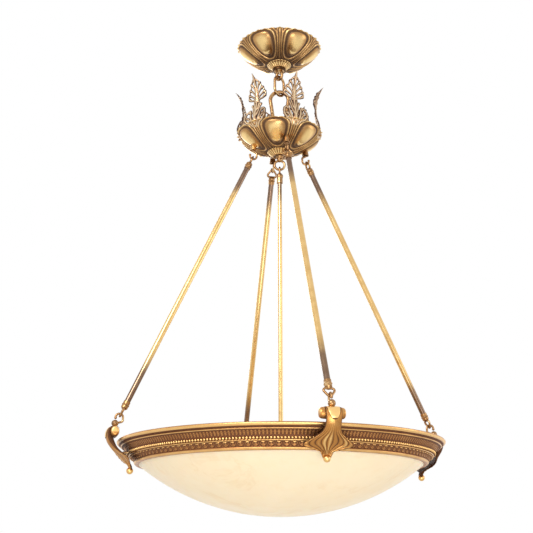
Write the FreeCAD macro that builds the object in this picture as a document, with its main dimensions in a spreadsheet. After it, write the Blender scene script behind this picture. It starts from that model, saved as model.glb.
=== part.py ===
"""Alabaster bowl pendant: a cast canopy, one chain link, a crown with six openwork leaves,
four hooked rods, a lamp stem, and a moulded ring that carries the stone bowl.

Millimetres, +Z up. The origin is the centre of the ceiling plane, so the pendant hangs below it.
The four rods stand on -Y (front), +X (right), +Y (back) and -X (left).
"""
import FreeCAD, Part
import math
import os
import re
import Sketcher
from FreeCAD import Placement, Rotation, Vector

UP = Vector(0, 0, 1)
ORIGIN = Vector(0, 0, 0)
SIDES = {"front": -90, "right": 0, "back": 90, "left": 180}  # turn of each rod about Z, in degrees

doc = FreeCAD.newDocument("alabaster_bowl_pendant")

# ---------------------------------------------------------------- driving dimensions
SIZES = {
    # clearances
    "seat_gap": 0.3,  # between a piece and what it rests on
    "thread_gap": 0.15,  # between a screw or tube and its hole
    "chain_gap": 1.3,  # slack where the bail crosses the link at an angle
    # ceiling crossbar and its tube
    "crossbar_length": 112,
    "crossbar_width": 19,
    "crossbar_thickness": 2.6,
    "slot_spacing": 88.9,
    "slot_length": 12,
    "slot_width": 4.6,
    "nipple_radius": 4.75,
    "nipple_bore": 3.3,
    "nipple_rise": 4,
    "locknut_width": 16,
    "locknut_height": 3.5,
    "ground_offset": 22,
    "ground_radius": 2,
    "ground_head": 4,
    "ground_length": 7,
    # cast rosette, used for the canopy and for the crown
    "rosette_radius": 100,
    "rosette_depth": 45,
    "rosette_wall": 2.5,
    "petal_count": 6,
    "petal_bulge": 5,
    "rib_share": 0.27,
    "cone_root": 30,
    "cone_tip": 17,
    "cone_depth": 12,
    "chain_turn": -14,  # the loops and the canopy are turned this far from the rods
    # canopy loop and screw collar
    "barrel_radius": 13,
    "barrel_height": 24,
    "collar_radius": 16,
    "collar_height": 6.5,
    "loop_wire": 3.5,
    "loop_width": 25,
    "loop_drop": 85.3,
    # chain link
    "link_wire": 3.25,
    "link_length": 57,
    "link_width": 38,
    "link_turn": 45,  # further turned, halfway between the two loops that it joins
    # crown bail and hub
    "bail_wire": 4.6,
    "bail_width": 53,
    "bail_rise": 114.4,
    "bail_lean": 8,
    "hub_radius": 12,
    "hub_height": 40,
    "stud_radius": 4.8,
    "stud_length": 10,
    "crown_turn": 8,  # ribs and leaves are turned this far from the front rod
    # crown leaves
    "leaf_thickness": 3.6,
    "leaf_height": 119,
    "leaf_foot": 14,
    "leaf_width": 50,
    "leaf_neck": 9,
    "leaf_stalk": 24,
    "leaf_screw": 1.6,
    "leaf_screw_length": 11,
    # loop under the crown
    "finial_flange": 10,
    "finial_ball": 6.5,
    "finial_height": 11,
    "finial_wire": 2.75,
    "finial_loop_width": 29,
    "finial_drop": 90.7,
    # crown hooks
    "hook_circle": 64.5,
    "hook_drop": 62.4,
    "hook_bend": 8,
    "hook_wire": 2.4,
    "bell_radius": 8.2,
    "bell_height": 20,
    "hook_nut_width": 10,
    "hook_nut_height": 4,
    # hanging rods
    "rod_radius": 6.35,
    "rod_wall": 1.2,
    "stirrup_wire": 2.4,
    "stirrup_bend": 5.5,
    "stirrup_corner": 4.5,
    "stirrup_flare": 36,
    "stirrup_height": 17,
    "ferrule_radius": 7.4,
    "ferrule_bead": 8.6,
    "ferrule_height": 15,
    # moulded ring and bowl
    "ring_radius": 355,
    "ring_drop": 974.6,
    "ring_height": 46.2,
    "ring_lean": 42,  # the ring's foot lies this far in from its top
    "ring_wall": 4,
    "ledge_width": 6.6,  # under the bowl's rim
    "ledge_height": 3,
    "bowl_depth": 105.7,
    "bowl_wall": 8,
    "bowl_rim_height": 12,
    "bowl_slack": 0.8,
    # brackets and their hooks
    "bracket_out": 10,  # centre of the scroll, outside the ring
    "bracket_up": 16.6,  # and above its top
    "bracket_down": 16,  # centre of the knob, below the ring
    "bracket_width": 31,
    "bracket_scroll": 10.6,
    "bracket_scroll_width": 50,
    "bracket_leaf_width": 86,
    "bracket_knob": 7,
    "bracket_hook_in": 1.5,  # centre of the hook's bend, inside the ring's outer edge
    "bracket_hook_up": 47.7,  # and above its top
    "bracket_hook_bend": 7.8,
    "bracket_ball": 7.5,
    "bracket_stud": 9,
    "boss_radius": 5.5,
    "boss_spacing": 18,
    "boss_rise": 20,  # above the ring's foot
    "screw_radius": 2,
    "screw_head": 4,
    "screw_head_height": 2.6,
    "screw_length": 22,
    "screw_seat_out": 9.5,  # flat in the ring's wall under the screw heads, outside its foot
    "rod_slack": 0.6,
    # lamp stem and lampholders
    "stem_radius": 5,
    "stem_wall": 1,
    "stem_reach": 6,  # into the cluster
    "stem_wire": 2.25,
    "stem_eye_width": 17,
    "stem_eye_height": 21,
    "stem_ball": 8.2,
    "stem_neck": 6.2,
    "cluster_radius": 27,
    "cluster_height": 34,
    "cluster_down": 33.4,  # below the ring's top
    "cluster_wall": 2.5,
    "cover_rim": 5,
    "cover_slope": 8,
    "holder_spigot": 5,
    "spigot_length": 8,
    "holder_floor": 4,
    "holder_radius": 13,
    "holder_length": 30,
    "holder_wall": 1.5,
    "lamp_radius": 22.5,
    "lamp_length": 72,
    "lamp_cap": 6.5,
    "lamp_cap_length": 30,
    "lamp_flare": 20,
}


def put_sizes():
    """The driving dimensions in one sheet, each under its own alias."""
    sheet = doc.addObject("Spreadsheet::Sheet", "Sizes")
    for row, (alias, number) in enumerate(SIZES.items(), start=1):
        sheet.set(f"A{row}", alias)
        sheet.set(f"B{row}", str(number))
        sheet.setAlias(f"B{row}", alias)
    doc.recompute()
    return sheet


sheet = put_sizes()
NAMES = re.compile(r"\b(" + "|".join(sorted(SIZES, key=len, reverse=True)) + r")\b")


def linked(rule):
    """A rule such as 'rod_radius - rod_wall' as an expression on the sheet."""
    return NAMES.sub(r"Sizes.\1", rule)


def value(rule):
    """The number that a rule gives now."""
    number = sheet.evalExpression(linked(rule))
    return float(getattr(number, "Value", number))


def bind(thing, **rules):
    """Tie properties of a document object to the sheet."""
    for name, rule in rules.items():
        thing.setExpression(name, linked(rule))


def lift(thing, rule):
    """Tie an object's height to the sheet."""
    thing.setExpression("Placement.Base.z", linked(rule))


# ---------------------------------------------------------------- heights that follow
CONE_TIP = "-(rosette_depth + cone_depth)"
LINK_TOP = "(loop_wire + link_wire + seat_gap - loop_drop)"
LINK_FOOT = f"({LINK_TOP} - link_length + 2 * link_wire)"
BAIL_TOP = f"({LINK_FOOT} + link_wire + bail_wire + chain_gap)"
CROWN = f"({BAIL_TOP} - bail_rise)"
CROWN_TIP = f"({CROWN} + {CONE_TIP})"
LOOP_FOOT = f"({CROWN} - finial_drop)"
RING_FOOT = "-(ring_drop + ring_height)"
BOWL_FOOT = f"({RING_FOOT} - bowl_depth)"
CLUSTER = "-(ring_drop + cluster_down)"
HOOK_LEVEL = "(bracket_hook_up - ring_drop)"

# ---------------------------------------------------------------- radii that follow
FOOT_RADIUS = "(ring_radius - ring_lean)"  # of the ring's foot and of the bowl's rim
MOUTH_RADIUS = f"({FOOT_RADIUS} - ledge_width)"  # of the bowl under its rim
HOOK_RADIUS = "(ring_radius - bracket_hook_in)"

PIECES = []  # every sub-part, in the order they are made


# ---------------------------------------------------------------- ways of making a piece
def keep(thing, label):
    """Name a sub-part and put it on the list."""
    thing.Label = label
    PIECES.append(thing)
    return thing


def cast(label, shape, turn=0.0):
    """A sub-part whose shape is worked out here, turned about the pendant's axis."""
    thing = doc.addObject("Part::Feature", label + "_casting")
    thing.Shape = shape
    thing.Placement = Placement(ORIGIN, Rotation(UP, turn))
    return keep(thing, label)


def plane_of(body, role):
    return next(plane for plane in body.Origin.OriginFeatures if plane.Role == role)


def turned(label, outline, drop="0"):
    """A body turned about Z. The outline's corners are (radius, height) rules, from the height drop."""
    body = doc.addObject("PartDesign::Body", label + "_body")
    sketch = body.newObject("Sketcher::SketchObject", label + "_outline")
    sketch.AttachmentSupport = [(plane_of(body, "XZ_Plane"), "")]
    sketch.MapMode = "FlatFace"
    corners = [Vector(value(radius), value(height), 0) for radius, height in outline]
    count = len(corners)
    for i in range(count):
        sketch.addGeometry(Part.LineSegment(corners[i], corners[(i + 1) % count]), False)
    for i in range(count):
        sketch.addConstraint(Sketcher.Constraint("Coincident", i, 2, (i + 1) % count, 1))
    for i, rules in enumerate(outline):
        for kind, rule in zip(("DistanceX", "DistanceY"), rules):
            place = sketch.addConstraint(Sketcher.Constraint(kind, -1, 1, i, 1, value(rule)))
            sketch.setExpression(f"Constraints[{place}]", linked(rule))
    turn = body.newObject("PartDesign::Revolution", label + "_turning")
    turn.Profile = sketch
    turn.ReferenceAxis = (sketch, ["V_Axis"])
    turn.Angle = 360
    lift(body, drop)
    return keep(body, label)


def chain_of(points, radii, closed=False):
    """A wire through points, each corner rounded by an arc of its own radius."""
    count = len(points)
    inner = range(count) if closed else range(1, count - 1)
    joints = {}
    for i in inner:
        before = (points[i - 1] - points[i]).normalize()
        after = (points[(i + 1) % count] - points[i]).normalize()
        half = before.getAngle(after) / 2
        reach = radii[i] / math.tan(half)
        middle = (before + after).normalize() * (radii[i] / math.sin(half) - radii[i])
        joints[i] = (points[i] + before * reach, points[i] + middle, points[i] + after * reach)
    edges = []
    for i in range(count if closed else count - 1):
        start = joints[i][2] if i in joints else points[i]
        following = (i + 1) % count
        end = joints[following][0] if following in joints else points[following]
        if start.distanceToPoint(end) > 1e-6:
            edges.append(Part.LineSegment(start, end).toShape())
        if following in joints:
            edges.append(Part.Arc(*joints[following]).toShape())
    return Part.Wire(edges)


def wire_rod(path, radius):
    """Round wire of a radius, bent along a path."""
    first = path.Edges[0]
    start = first.valueAt(first.FirstParameter)
    along = first.tangentAt(first.FirstParameter)
    section = Part.Wire([Part.Circle(start, along, radius).toShape()])
    return path.makePipeShell([section], True, False)


def face_of(corners, bulges=None):
    """A flat face. A corner with a bulge starts an arc that stands that far to its right."""
    bulges = bulges or {}
    edges = []
    for i, start in enumerate(corners):
        end = corners[(i + 1) % len(corners)]
        if i in bulges:
            run = end - start
            side = Vector(run.z, 0, -run.x) if abs(run.y) < 1e-9 else Vector(0, run.z, -run.y)
            middle = (start + end) * 0.5 + side.normalize() * bulges[i]
            edges.append(Part.Arc(start, middle, end).toShape())
        else:
            edges.append(Part.LineSegment(start, end).toShape())
    return Part.Face(Part.Wire(edges))


def post(radius, bottom, top, x=0.0, y=0.0):
    """An upright cylinder between two heights."""
    return Part.makeCylinder(radius, top - bottom, Vector(x, y, bottom))


def ball(radius, x, y, z):
    return Part.makeSphere(radius, Vector(x, y, z))


def hexagon(width, bottom, height, x=0.0, y=0.0):
    """A hexagonal nut's outside, across its flats."""
    reach = width / math.sqrt(3)
    corners = [Vector(x + reach * math.cos(k * math.pi / 3), y + reach * math.sin(k * math.pi / 3), bottom)
               for k in range(6)]
    return Part.Face(Part.makePolygon(corners + corners[:1])).extrude(Vector(0, 0, height))


# ---------------------------------------------------------------- cast rosette
SECTION_SHARES = (0.0, 0.16, 0.34, 0.52, 0.7, 0.85, 0.95, 1.0)  # of the depth, rim to cone root
ROUNDNESS = 1.4  # exponent of the superellipse that the side follows
RIB_RISE = 1.2  # a rib stands this far out of the round outline
GROOVE = 1.3  # the line between rib and petal lies this far in


def rosette_reach(share, inset=0.0):
    """Radius of the rosette's side, less ribs and petals, at a share of its depth."""
    rim, root = value("rosette_radius") - inset, value("cone_root") - inset
    return root + (rim - root) * (1 - share**ROUNDNESS) ** (1 / ROUNDNESS)


def rosette_section(radius, height, bulge, rib, groove):
    """One outline of the rosette: petals and ribs in turn, each an arc, a rib at angle 0."""
    count = int(value("petal_count"))
    pitch = 2 * math.pi / count
    half_rib = pitch * value("rib_share") / 2

    def at(angle, reach):
        return Vector(reach * math.cos(angle), reach * math.sin(angle), height)

    edges = []
    for k in range(count):
        middle = k * pitch
        start, end = middle - half_rib, middle + half_rib
        over, crest = middle + pitch - half_rib, middle + pitch / 2
        low = radius - groove
        edges.append(Part.Arc(at(start, low), at(middle, radius + rib), at(end, low)))
        edges.append(Part.Arc(at(end, low), at(crest, radius + bulge), at(over, low)))
    return Part.Wire([edge.toShape() for edge in edges])


def rosette_solid(top, inset):
    """The rosette as a full solid below the height top, drawn in by an inset on every side."""
    tip = value("cone_tip") - inset
    depth = value("rosette_depth") - inset
    sections = []
    for share in SECTION_SHARES:
        reach = rosette_reach(share, inset)
        swell = value("petal_bulge") * math.sin(math.pi * share**0.7) * (1 - share / 3)
        fade = 1 - 0.8 * share
        sections.append(rosette_section(reach, top - depth * share, swell, RIB_RISE * fade, GROOVE * fade))
    foot = top - depth - value("cone_depth")
    sections.append(rosette_section(tip, foot, 0.0, 0.0, 0.3))
    return Part.makeLoft(sections, True, True)


def rosette(top, hole):
    """The rosette's shell, open at the top, with a round hole through the tip of its cone."""
    wall = value("rosette_wall")
    shell = rosette_solid(top, 0.0).cut(rosette_solid(top, wall))
    return shell.cut(post(hole, top + value(CONE_TIP) - 1, top, 0, 0))


# ---------------------------------------------------------------- ceiling hardware
def crossbar():
    """The flat bar that screws to the ceiling box through its two slots."""
    length, width = value("crossbar_length"), value("crossbar_width")
    thick = value("crossbar_thickness")
    bar = Part.makeBox(length, width, thick, Vector(-length / 2, -width / 2, -thick))
    half = (value("slot_length") - value("slot_width")) / 2
    radius = value("slot_width") / 2
    for side in (-1, 1):
        middle = side * value("slot_spacing") / 2
        bar = bar.cut(Part.makeBox(2 * half, 2 * radius, thick, Vector(middle - half, -radius, -thick)))
        for end in (-half, half):
            bar = bar.cut(post(radius, -thick, 0, middle + end))
    bar = bar.cut(post(value("nipple_radius + thread_gap"), -thick, 0))
    bar = bar.cut(post(value("ground_radius + thread_gap"), -thick, 0, value("ground_offset")))
    return cast("crossbar", bar)


def canopy_loop():
    """Threaded barrel with the loop that carries the chain, in one casting."""
    wire = value("loop_wire")
    foot = value("-loop_drop")
    barrel_foot = value(f"{CONE_TIP} - seat_gap - collar_height")
    half = value("loop_width / 2 - loop_wire")
    path = chain_of([Vector(0, -half, foot), Vector(0, half, foot), Vector(0, half, barrel_foot),
                     Vector(0, -half, barrel_foot)], [half * 0.999] * 4, closed=True)
    barrel = post(value("barrel_radius"), barrel_foot, barrel_foot + value("barrel_height"))
    bore = post(value("nipple_radius + thread_gap"), barrel_foot + value("barrel_height / 2"), 0)
    wire_way = post(value("nipple_bore"), barrel_foot + 2 * wire, 0)
    loop = barrel.fuse(wire_rod(path, wire)).cut(bore).cut(wire_way).removeSplitter()
    return cast("canopy_loop", loop, value("chain_turn + link_turn"))


def ceiling_parts():
    crossbar()
    nipple_foot = f"({CONE_TIP} - collar_height - seat_gap + barrel_height / 2 + 1)"
    turned("crossbar_nipple", [("nipple_bore", "0"), ("nipple_radius", "0"),
                               ("nipple_radius", f"nipple_rise - {nipple_foot}"),
                               ("nipple_bore", f"nipple_rise - {nipple_foot}")], nipple_foot)
    top = value("-crossbar_thickness - seat_gap")
    height = value("locknut_height")
    nut = hexagon(value("locknut_width"), top - height, height)
    cast("nipple_locknut", nut.cut(post(value("nipple_radius + thread_gap"), top - height, top)))
    screw_top = value("ground_length") - value("crossbar_thickness + seat_gap")
    x = value("ground_offset")
    head = post(value("ground_head"), top - value("ground_head / 2"), top, x)
    cast("ground_screw", head.fuse(post(value("ground_radius"), top, screw_top, x)))
    canopy_loop()
    canopy = rosette(0.0, value("barrel_radius + thread_gap * 3"))
    cast("canopy", canopy, value("chain_turn - 90"))
    turned("canopy_collar", [("barrel_radius + thread_gap * 2", "0"), ("collar_radius - 1", "0"),
                             ("collar_radius", "1"), ("collar_radius", "collar_height - 1"),
                             ("collar_radius - 1", "collar_height"),
                             ("barrel_radius + thread_gap * 2", "collar_height")],
           f"{CONE_TIP} - seat_gap - collar_height")


# ---------------------------------------------------------------- chain link and crown
def chain_link():
    half = value("link_width / 2 - link_wire")
    top, foot = value(LINK_TOP), value(LINK_FOOT)
    path = chain_of([Vector(-half, 0, foot), Vector(half, 0, foot), Vector(half, 0, top),
                     Vector(-half, 0, top)], [half * 0.999] * 4, closed=True)
    return cast("chain_link", wire_rod(path, value("link_wire")), value("chain_turn + link_turn"))


def crown_bail():
    """Large loop whose legs close in on the hub; the hub's stud holds the dish and the loop below."""
    wire = value("bail_wire")
    bend = value("bail_width / 2 - bail_wire")
    middle = value(f"{BAIL_TOP}") - bend
    lean = math.radians(value("bail_lean"))
    shoulder = Vector(bend * math.cos(lean), 0, middle - bend * math.sin(lean))
    hub_foot = value(f"{CROWN_TIP} + rosette_wall + seat_gap")
    hub_top = hub_foot + value("hub_height")
    run = (shoulder.z - hub_top + wire) / math.cos(lean)
    foot = shoulder + Vector(-math.sin(lean), 0, -math.cos(lean)) * run
    legs = [Vector(side * foot.x, 0, foot.z) for side in (-1, 1)]
    shoulders = [Vector(side * shoulder.x, 0, shoulder.z) for side in (-1, 1)]
    path = Part.Wire([Part.LineSegment(legs[0], shoulders[0]).toShape(),
                      Part.Arc(shoulders[0], Vector(0, 0, middle + bend), shoulders[1]).toShape(),
                      Part.LineSegment(shoulders[1], legs[1]).toShape()])
    hub = post(value("hub_radius"), hub_foot, hub_top)
    cap = Part.makeCone(value("hub_radius"), value("hub_radius") * 0.6, 4, Vector(0, 0, hub_top))
    stud_foot = hub_foot - value("rosette_wall + stud_length")
    stud = post(value("stud_radius"), stud_foot, hub_foot)
    bail = wire_rod(path, wire).fuse([hub, cap, stud]).removeSplitter()
    return cast("crown_bail", bail, value("chain_turn"))


LEAF_SPINE = ((-13.0, -1.0), (-6.6, -0.5), (-3.6, 0.0), (-10.0, 0.42), (-7.0, 0.74), (10.0, 1.0))
# (distance outside the rim, share of the height; the first share is of the foot's depth)
OPENINGS = ((12, 16, 40, 2.4), (38, 15, 33, 2.6), (66, 13, 25, 2.2))
# fan of openings on each side: angle from upright, start, end, half width


def leaf_sheet():
    """The leaf seen from its side: a strap that leans in and then curls outwards."""
    rim = value("rosette_radius")
    width = value("leaf_width")
    spine = []
    for out, share in LEAF_SPINE:
        height = share * value("leaf_foot") if share < 0 else share * value("leaf_height")
        spine.append(Vector(rim + out, -width, height))
    thick = Vector(value("leaf_thickness"), 0, 0)
    inner, outer = Part.BSplineCurve(), Part.BSplineCurve()
    inner.interpolate([point - thick for point in spine])
    outer.interpolate(spine)
    edges = [inner.toShape(), Part.LineSegment(spine[-1] - thick, spine[-1]).toShape(),
             outer.toShape(), Part.LineSegment(spine[0], spine[0] - thick).toShape()]
    return Part.Face(Part.Wire(Part.__sortEdges__(edges))).extrude(Vector(0, 2 * width, 0))


def leaf_front():
    """The leaf seen from the front: pointed head with a fan of openings, stalk and two side curls."""
    rim, reach = value("rosette_radius"), 60.0
    near, along = rim - reach / 2, Vector(1, 0, 0)
    neck = 0.49 * value("leaf_height")
    half_width = value("leaf_width / 2")
    half_height = (value("leaf_height") - neck) / 2 + 2
    middle = value("leaf_height") - half_height + 2
    bend = (half_width**2 + half_height**2) / (2 * half_width)
    sides = [Part.makeCylinder(bend, reach, Vector(near, side * (bend - half_width), middle), along)
             for side in (-1, 1)]
    head = sides[0].common(sides[1])
    for angle, start, end, half in OPENINGS:
        for side in (-1, 1):
            slit = Part.makeBox(reach, 2 * half, end - start, Vector(near, -half, start))
            slit = slit.fuse(Part.makeCylinder(half, reach, Vector(near, 0, end), along))
            slit.rotate(ORIGIN, along, -side * angle)
            slit.translate(Vector(0, 0, neck))
            head = head.cut(slit)
    foot, stalk, thin = -value("leaf_foot"), value("leaf_stalk / 2"), value("leaf_neck / 2")
    stem = face_of([Vector(near, -stalk, foot), Vector(near, stalk, foot), Vector(near, thin, neck + 8),
                    Vector(near, -thin, neck + 8)]).extrude(along * reach)
    curl_height, curl_side, curl = 16, 17, 8.5
    curls = []
    for side in (-1, 1):
        middle_point = Vector(near, side * curl_side, curl_height)
        disc = Part.makeCylinder(curl, reach, middle_point, along)
        curls.append(disc.cut(Part.makeCylinder(curl / 2, reach, middle_point, along)))
    return head.fuse([stem] + curls)


def crown_leaf(wall_space):
    """One leaf, its foot cut to lie against the inside of the dish."""
    neck = 0.49 * value("leaf_height")
    knot = post(value("leaf_neck * 0.6"), neck, neck + 4, value("rosette_radius - 12"))
    leaf = leaf_sheet().common(leaf_front()).fuse(knot)
    leaf.translate(Vector(0, 0, value(CROWN)))
    return leaf.cut(wall_space)


def crown_hook():
    """Hook with its threaded stem, bent from one wire: down through the bell, in, round and up."""
    centre = Vector(value("hook_circle"), 0, value(f"{CROWN} - hook_drop"))
    bend, wire = value("hook_bend"), value("hook_wire")
    stem_top = value(f"{CROWN} - rosette_depth * 0.55 + hook_nut_height + 1")
    corners = [Vector(centre.x, 0, stem_top), Vector(centre.x, 0, centre.z + bend + 2 * wire),
               Vector(centre.x - bend, 0, centre.z + bend), Vector(centre.x - bend, 0, centre.z - bend),
               Vector(centre.x + bend, 0, centre.z - bend), Vector(centre.x + bend, 0, centre.z + wire)]
    path = chain_of(corners, [0, wire, wire, bend * 0.999, bend * 0.999, 0])
    tip = ball(wire * 1.25, corners[-1].x, 0, corners[-1].z)
    return wire_rod(path, wire).fuse(tip)


def hook_bell(dish_space):
    """Bell-shaped cup round the hook's stem, cut to the underside of the dish."""
    x = value("hook_circle")
    foot = value(f"{CROWN} - hook_drop + hook_bend + 2.8 * hook_wire")
    top = foot + value("bell_height")
    outer, inner = value("bell_radius"), value("bell_radius - 2")
    bell = Part.makeCone(outer, outer * 0.62, top - foot, Vector(x, 0, foot))
    bell = bell.cut(Part.makeCone(inner, inner * 0.5, (top - foot) * 0.45, Vector(x, 0, foot)))
    bell = bell.cut(post(value("hook_wire + thread_gap"), foot, top, x))
    return bell.cut(dish_space)


LEAF_SCREW_DEPTH = "leaf_foot * 0.55"  # below the rim


def leaf_screw():
    """Dome-headed screw along X for a rib, its head outside, and the hole that it needs."""
    seat = rosette_reach(value(f"{LEAF_SCREW_DEPTH} / rosette_depth")) + RIB_RISE + value("seat_gap")
    radius, length = value("leaf_screw"), value("leaf_screw_length")
    head = 2 * radius
    start = Vector(seat, 0, value(f"{CROWN} - {LEAF_SCREW_DEPTH}"))
    outside = Part.makeBox(head, 2 * head, 2 * head, start - Vector(0, head, head))
    dome = Part.makeSphere(head, start).common(outside)
    along = Vector(1, 0, 0)
    tail = start - along * length
    shank = Part.makeCylinder(radius, length, tail, along)
    hole = radius + value("thread_gap")
    way = Part.makeCylinder(hole, length, tail, along)
    under = start - along * value("seat_gap")
    return dome.fuse(shank), way.fuse(Part.makeCylinder(head + hole - radius, 2 * head, under, along))


def hook_nut(dish_inside):
    """Nut on a washer that is cast to the slope inside the dish."""
    x = value("hook_circle")
    middle = value(f"{CROWN} - rosette_depth * 0.55")
    washer = post(value("hook_nut_width * 0.7"), middle - 20, middle, x).common(dish_inside)
    nut = hexagon(value("hook_nut_width"), middle, value("hook_nut_height"), x)
    stem = post(value("hook_wire + thread_gap"), middle - 20, middle + value("hook_nut_height"), x)
    return washer.fuse(nut).cut(stem).removeSplitter()


def spun(shape, turn):
    """A copy of a shape, turned about the pendant's axis."""
    copy = shape.copy()
    copy.rotate(ORIGIN, UP, turn)
    return copy


def crown_parts():
    crown, gap = value(CROWN), value("seat_gap")
    wall, ribs = value("rosette_wall"), value("crown_turn - 90")
    count = int(value("petal_count"))
    leaf_turns = [k * 360 / count + ribs for k in range(count)]
    dish = spun(rosette(crown, value("stud_radius + thread_gap")), ribs)
    dish_space = spun(rosette_solid(crown, -gap), ribs)
    dish_inside = spun(rosette_solid(crown, wall + gap), ribs)
    wall_space = rosette_solid(crown, -gap).cut(rosette_solid(crown, wall + gap))
    screw, screw_way = leaf_screw()
    hook_way = post(value("hook_wire + thread_gap"), value(CROWN_TIP), crown, value("hook_circle"))
    for turn in leaf_turns:
        dish = dish.cut(spun(screw_way, turn))
    for turn in SIDES.values():
        dish = dish.cut(spun(hook_way, turn))
    cast("crown_dish", dish)
    crown_bail()
    leaf = crown_leaf(wall_space).cut(screw_way)
    for number, turn in enumerate(leaf_turns, start=1):
        cast(f"crown_leaf_{number}", leaf, turn)
    cast("leaf_screws", Part.makeCompound([spun(screw, turn) for turn in leaf_turns]))
    nuts = []
    for side, turn in SIDES.items():
        cast(f"hook_bell_{side}", hook_bell(spun(dish_space, -turn)), turn)
        cast(f"crown_hook_{side}", crown_hook(), turn)
        nuts.append(spun(hook_nut(spun(dish_inside, -turn)), turn))
    cast("hook_nuts", Part.makeCompound(nuts))
    crown_loop()


def crown_loop():
    """Turned knob with a loop, screwed to the hub's stud under the dish."""
    wire = value("finial_wire")
    half = value("finial_loop_width / 2 - finial_wire")
    top = value(f"{CROWN_TIP} - seat_gap")
    foot = value(LOOP_FOOT)
    knob_foot = top - value("finial_height")
    flange_foot = top - value("finial_height / 2")
    flange = Part.makeCone(value("finial_flange * 0.75"), value("finial_flange"), top - flange_foot,
                           Vector(0, 0, flange_foot))
    knob = ball(value("finial_ball"), 0, 0, top - value("finial_ball") - 1)
    corners = [Vector(-half, 0, foot), Vector(half, 0, foot), Vector(half, 0, knob_foot),
               Vector(-half, 0, knob_foot)]
    path = chain_of(corners, [half * 0.99, half * 0.99, half * 0.8, half * 0.8], closed=True)
    bore = post(value("stud_radius + thread_gap"), top - value("stud_length"), top)
    loop = flange.fuse([knob, wire_rod(path, wire)]).cut(bore).removeSplitter()
    cast("crown_loop", loop, value("chain_turn"))


# ---------------------------------------------------------------- hanging rods
def rod_line():
    """The two points that a rod hangs between: in the crown hook and in the bracket hook."""
    top = Vector(value("hook_circle"), 0, value(f"{CROWN} - hook_drop"))
    foot = Vector(value(HOOK_RADIUS), 0, value(HOOK_LEVEL))
    along = (foot - top).normalize()
    seat = value("hook_bend - hook_wire - stirrup_wire - seat_gap")
    low_seat = value("bracket_hook_bend - hook_wire - stirrup_wire - rod_slack")
    return top + along * seat, foot - along * low_seat


def stirrup():
    """Rod end, tip at the origin and rod towards -Z: a wire stirrup under a turned ferrule."""
    wire, bend = value("stirrup_wire"), value("stirrup_bend")
    flare = math.radians(value("stirrup_flare"))
    apex = bend * (1 / math.sin(flare) - 1)
    height = value("stirrup_height")
    half = (height + apex) * math.tan(flare)
    path = chain_of([Vector(0, 0, apex), Vector(0, half, -height), Vector(0, -half, -height)],
                    [bend, value("stirrup_corner"), value("stirrup_corner")], closed=True)
    length = value("ferrule_height")
    radius, bead = value("ferrule_radius"), value("ferrule_bead")
    neck = -height + wire / 2
    dome = Part.makeCone(radius, radius * 0.5, 4, Vector(0, 0, neck - 4))
    barrel = post(radius, neck - 4 - length, neck - 4)
    middle = neck - 4 - length * 0.45
    ring = Part.makeCone(radius, bead, 2, Vector(0, 0, middle - 2))
    ring = ring.fuse(Part.makeCone(bead, radius, 2, Vector(0, 0, middle)))
    bore = post(value("rod_radius + thread_gap"), neck - 4 - length, neck - 5)
    return wire_rod(path, wire).fuse([dome, barrel, ring]).cut(bore).removeSplitter()


def hanging_rods():
    top, foot = rod_line()
    line = foot - top
    lean = math.degrees(math.atan2(line.x, -line.z))
    inset = value("stirrup_height - stirrup_wire / 2") + 5 + value("thread_gap")
    length = line.Length - 2 * inset
    start = foot - line.normalize() * inset
    tilt = Rotation(Vector(0, 1, 0), -lean)
    for side, turn in SIDES.items():
        about = Rotation(UP, turn)
        for end, place, flip in (("top", top, 0), ("bottom", foot, 180)):
            eye = cast(f"rod_{end}_eye_{side}", stirrup())
            eye.Placement = Placement(about.multVec(place), about * tilt * Rotation(Vector(0, 1, 0), flip))
        tube = doc.addObject("Part::Cylinder", f"rod_outside_{side}")
        bore = doc.addObject("Part::Cylinder", f"rod_bore_{side}")
        for cylinder, radius in ((tube, "rod_radius"), (bore, "rod_radius - rod_wall")):
            bind(cylinder, Radius=radius)
            cylinder.Height = length
        rod = doc.addObject("Part::Cut", f"rod_{side}_tube")
        rod.Base, rod.Tool = tube, bore
        rod.Placement = Placement(about.multVec(start), about * tilt)
        keep(rod, f"rod_tube_{side}")


# ---------------------------------------------------------------- ring and bowl
MOULDING = ((0.0, -6.0), (0.0, -1.5), (0.03, 0.3), (0.07, 0.8), (0.11, 0.0), (0.14, -2.6), (0.19, -2.6),
            (0.2, -0.4), (0.26, -0.6), (0.28, -2.4), (0.38, -4.6), (0.48, -2.8), (0.5, -1.2), (0.61, -1.2),
            (0.62, 0.6), (0.68, 0.4), (0.72, -0.8), (0.82, -2.4), (0.89, -1.0), (0.9, 0.8), (0.96, 1.2),
            (1.0, 0.0))
# (share of the ring's height from its top, distance out of the straight slope): bead, groove, fillet,
# leaf cove, pearl seat, fillet, egg cove, foot


def ring_outline():
    """Corners of the ring's section as (radius, height) rules, heights from its foot."""
    corners = []
    for share, out in MOULDING:
        radius = f"ring_radius - ring_lean * {share} + {out}"
        corners.append((radius, f"ring_height * {round(1 - share, 3)}"))
    lip, rebate = f"{MOUTH_RADIUS} + bowl_slack", f"{FOOT_RADIUS} + bowl_slack"
    return corners + [
        (lip, "0"),
        (lip, "ledge_height"),
        (rebate, "ledge_height"),
        (rebate, "ledge_height + bowl_rim_height"),
        ("ring_radius - ring_lean * 0.3 - ring_wall * 2", "ring_height * 0.7"),
        ("ring_radius - ring_wall * 2.5", "ring_height"),
    ]


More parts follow.
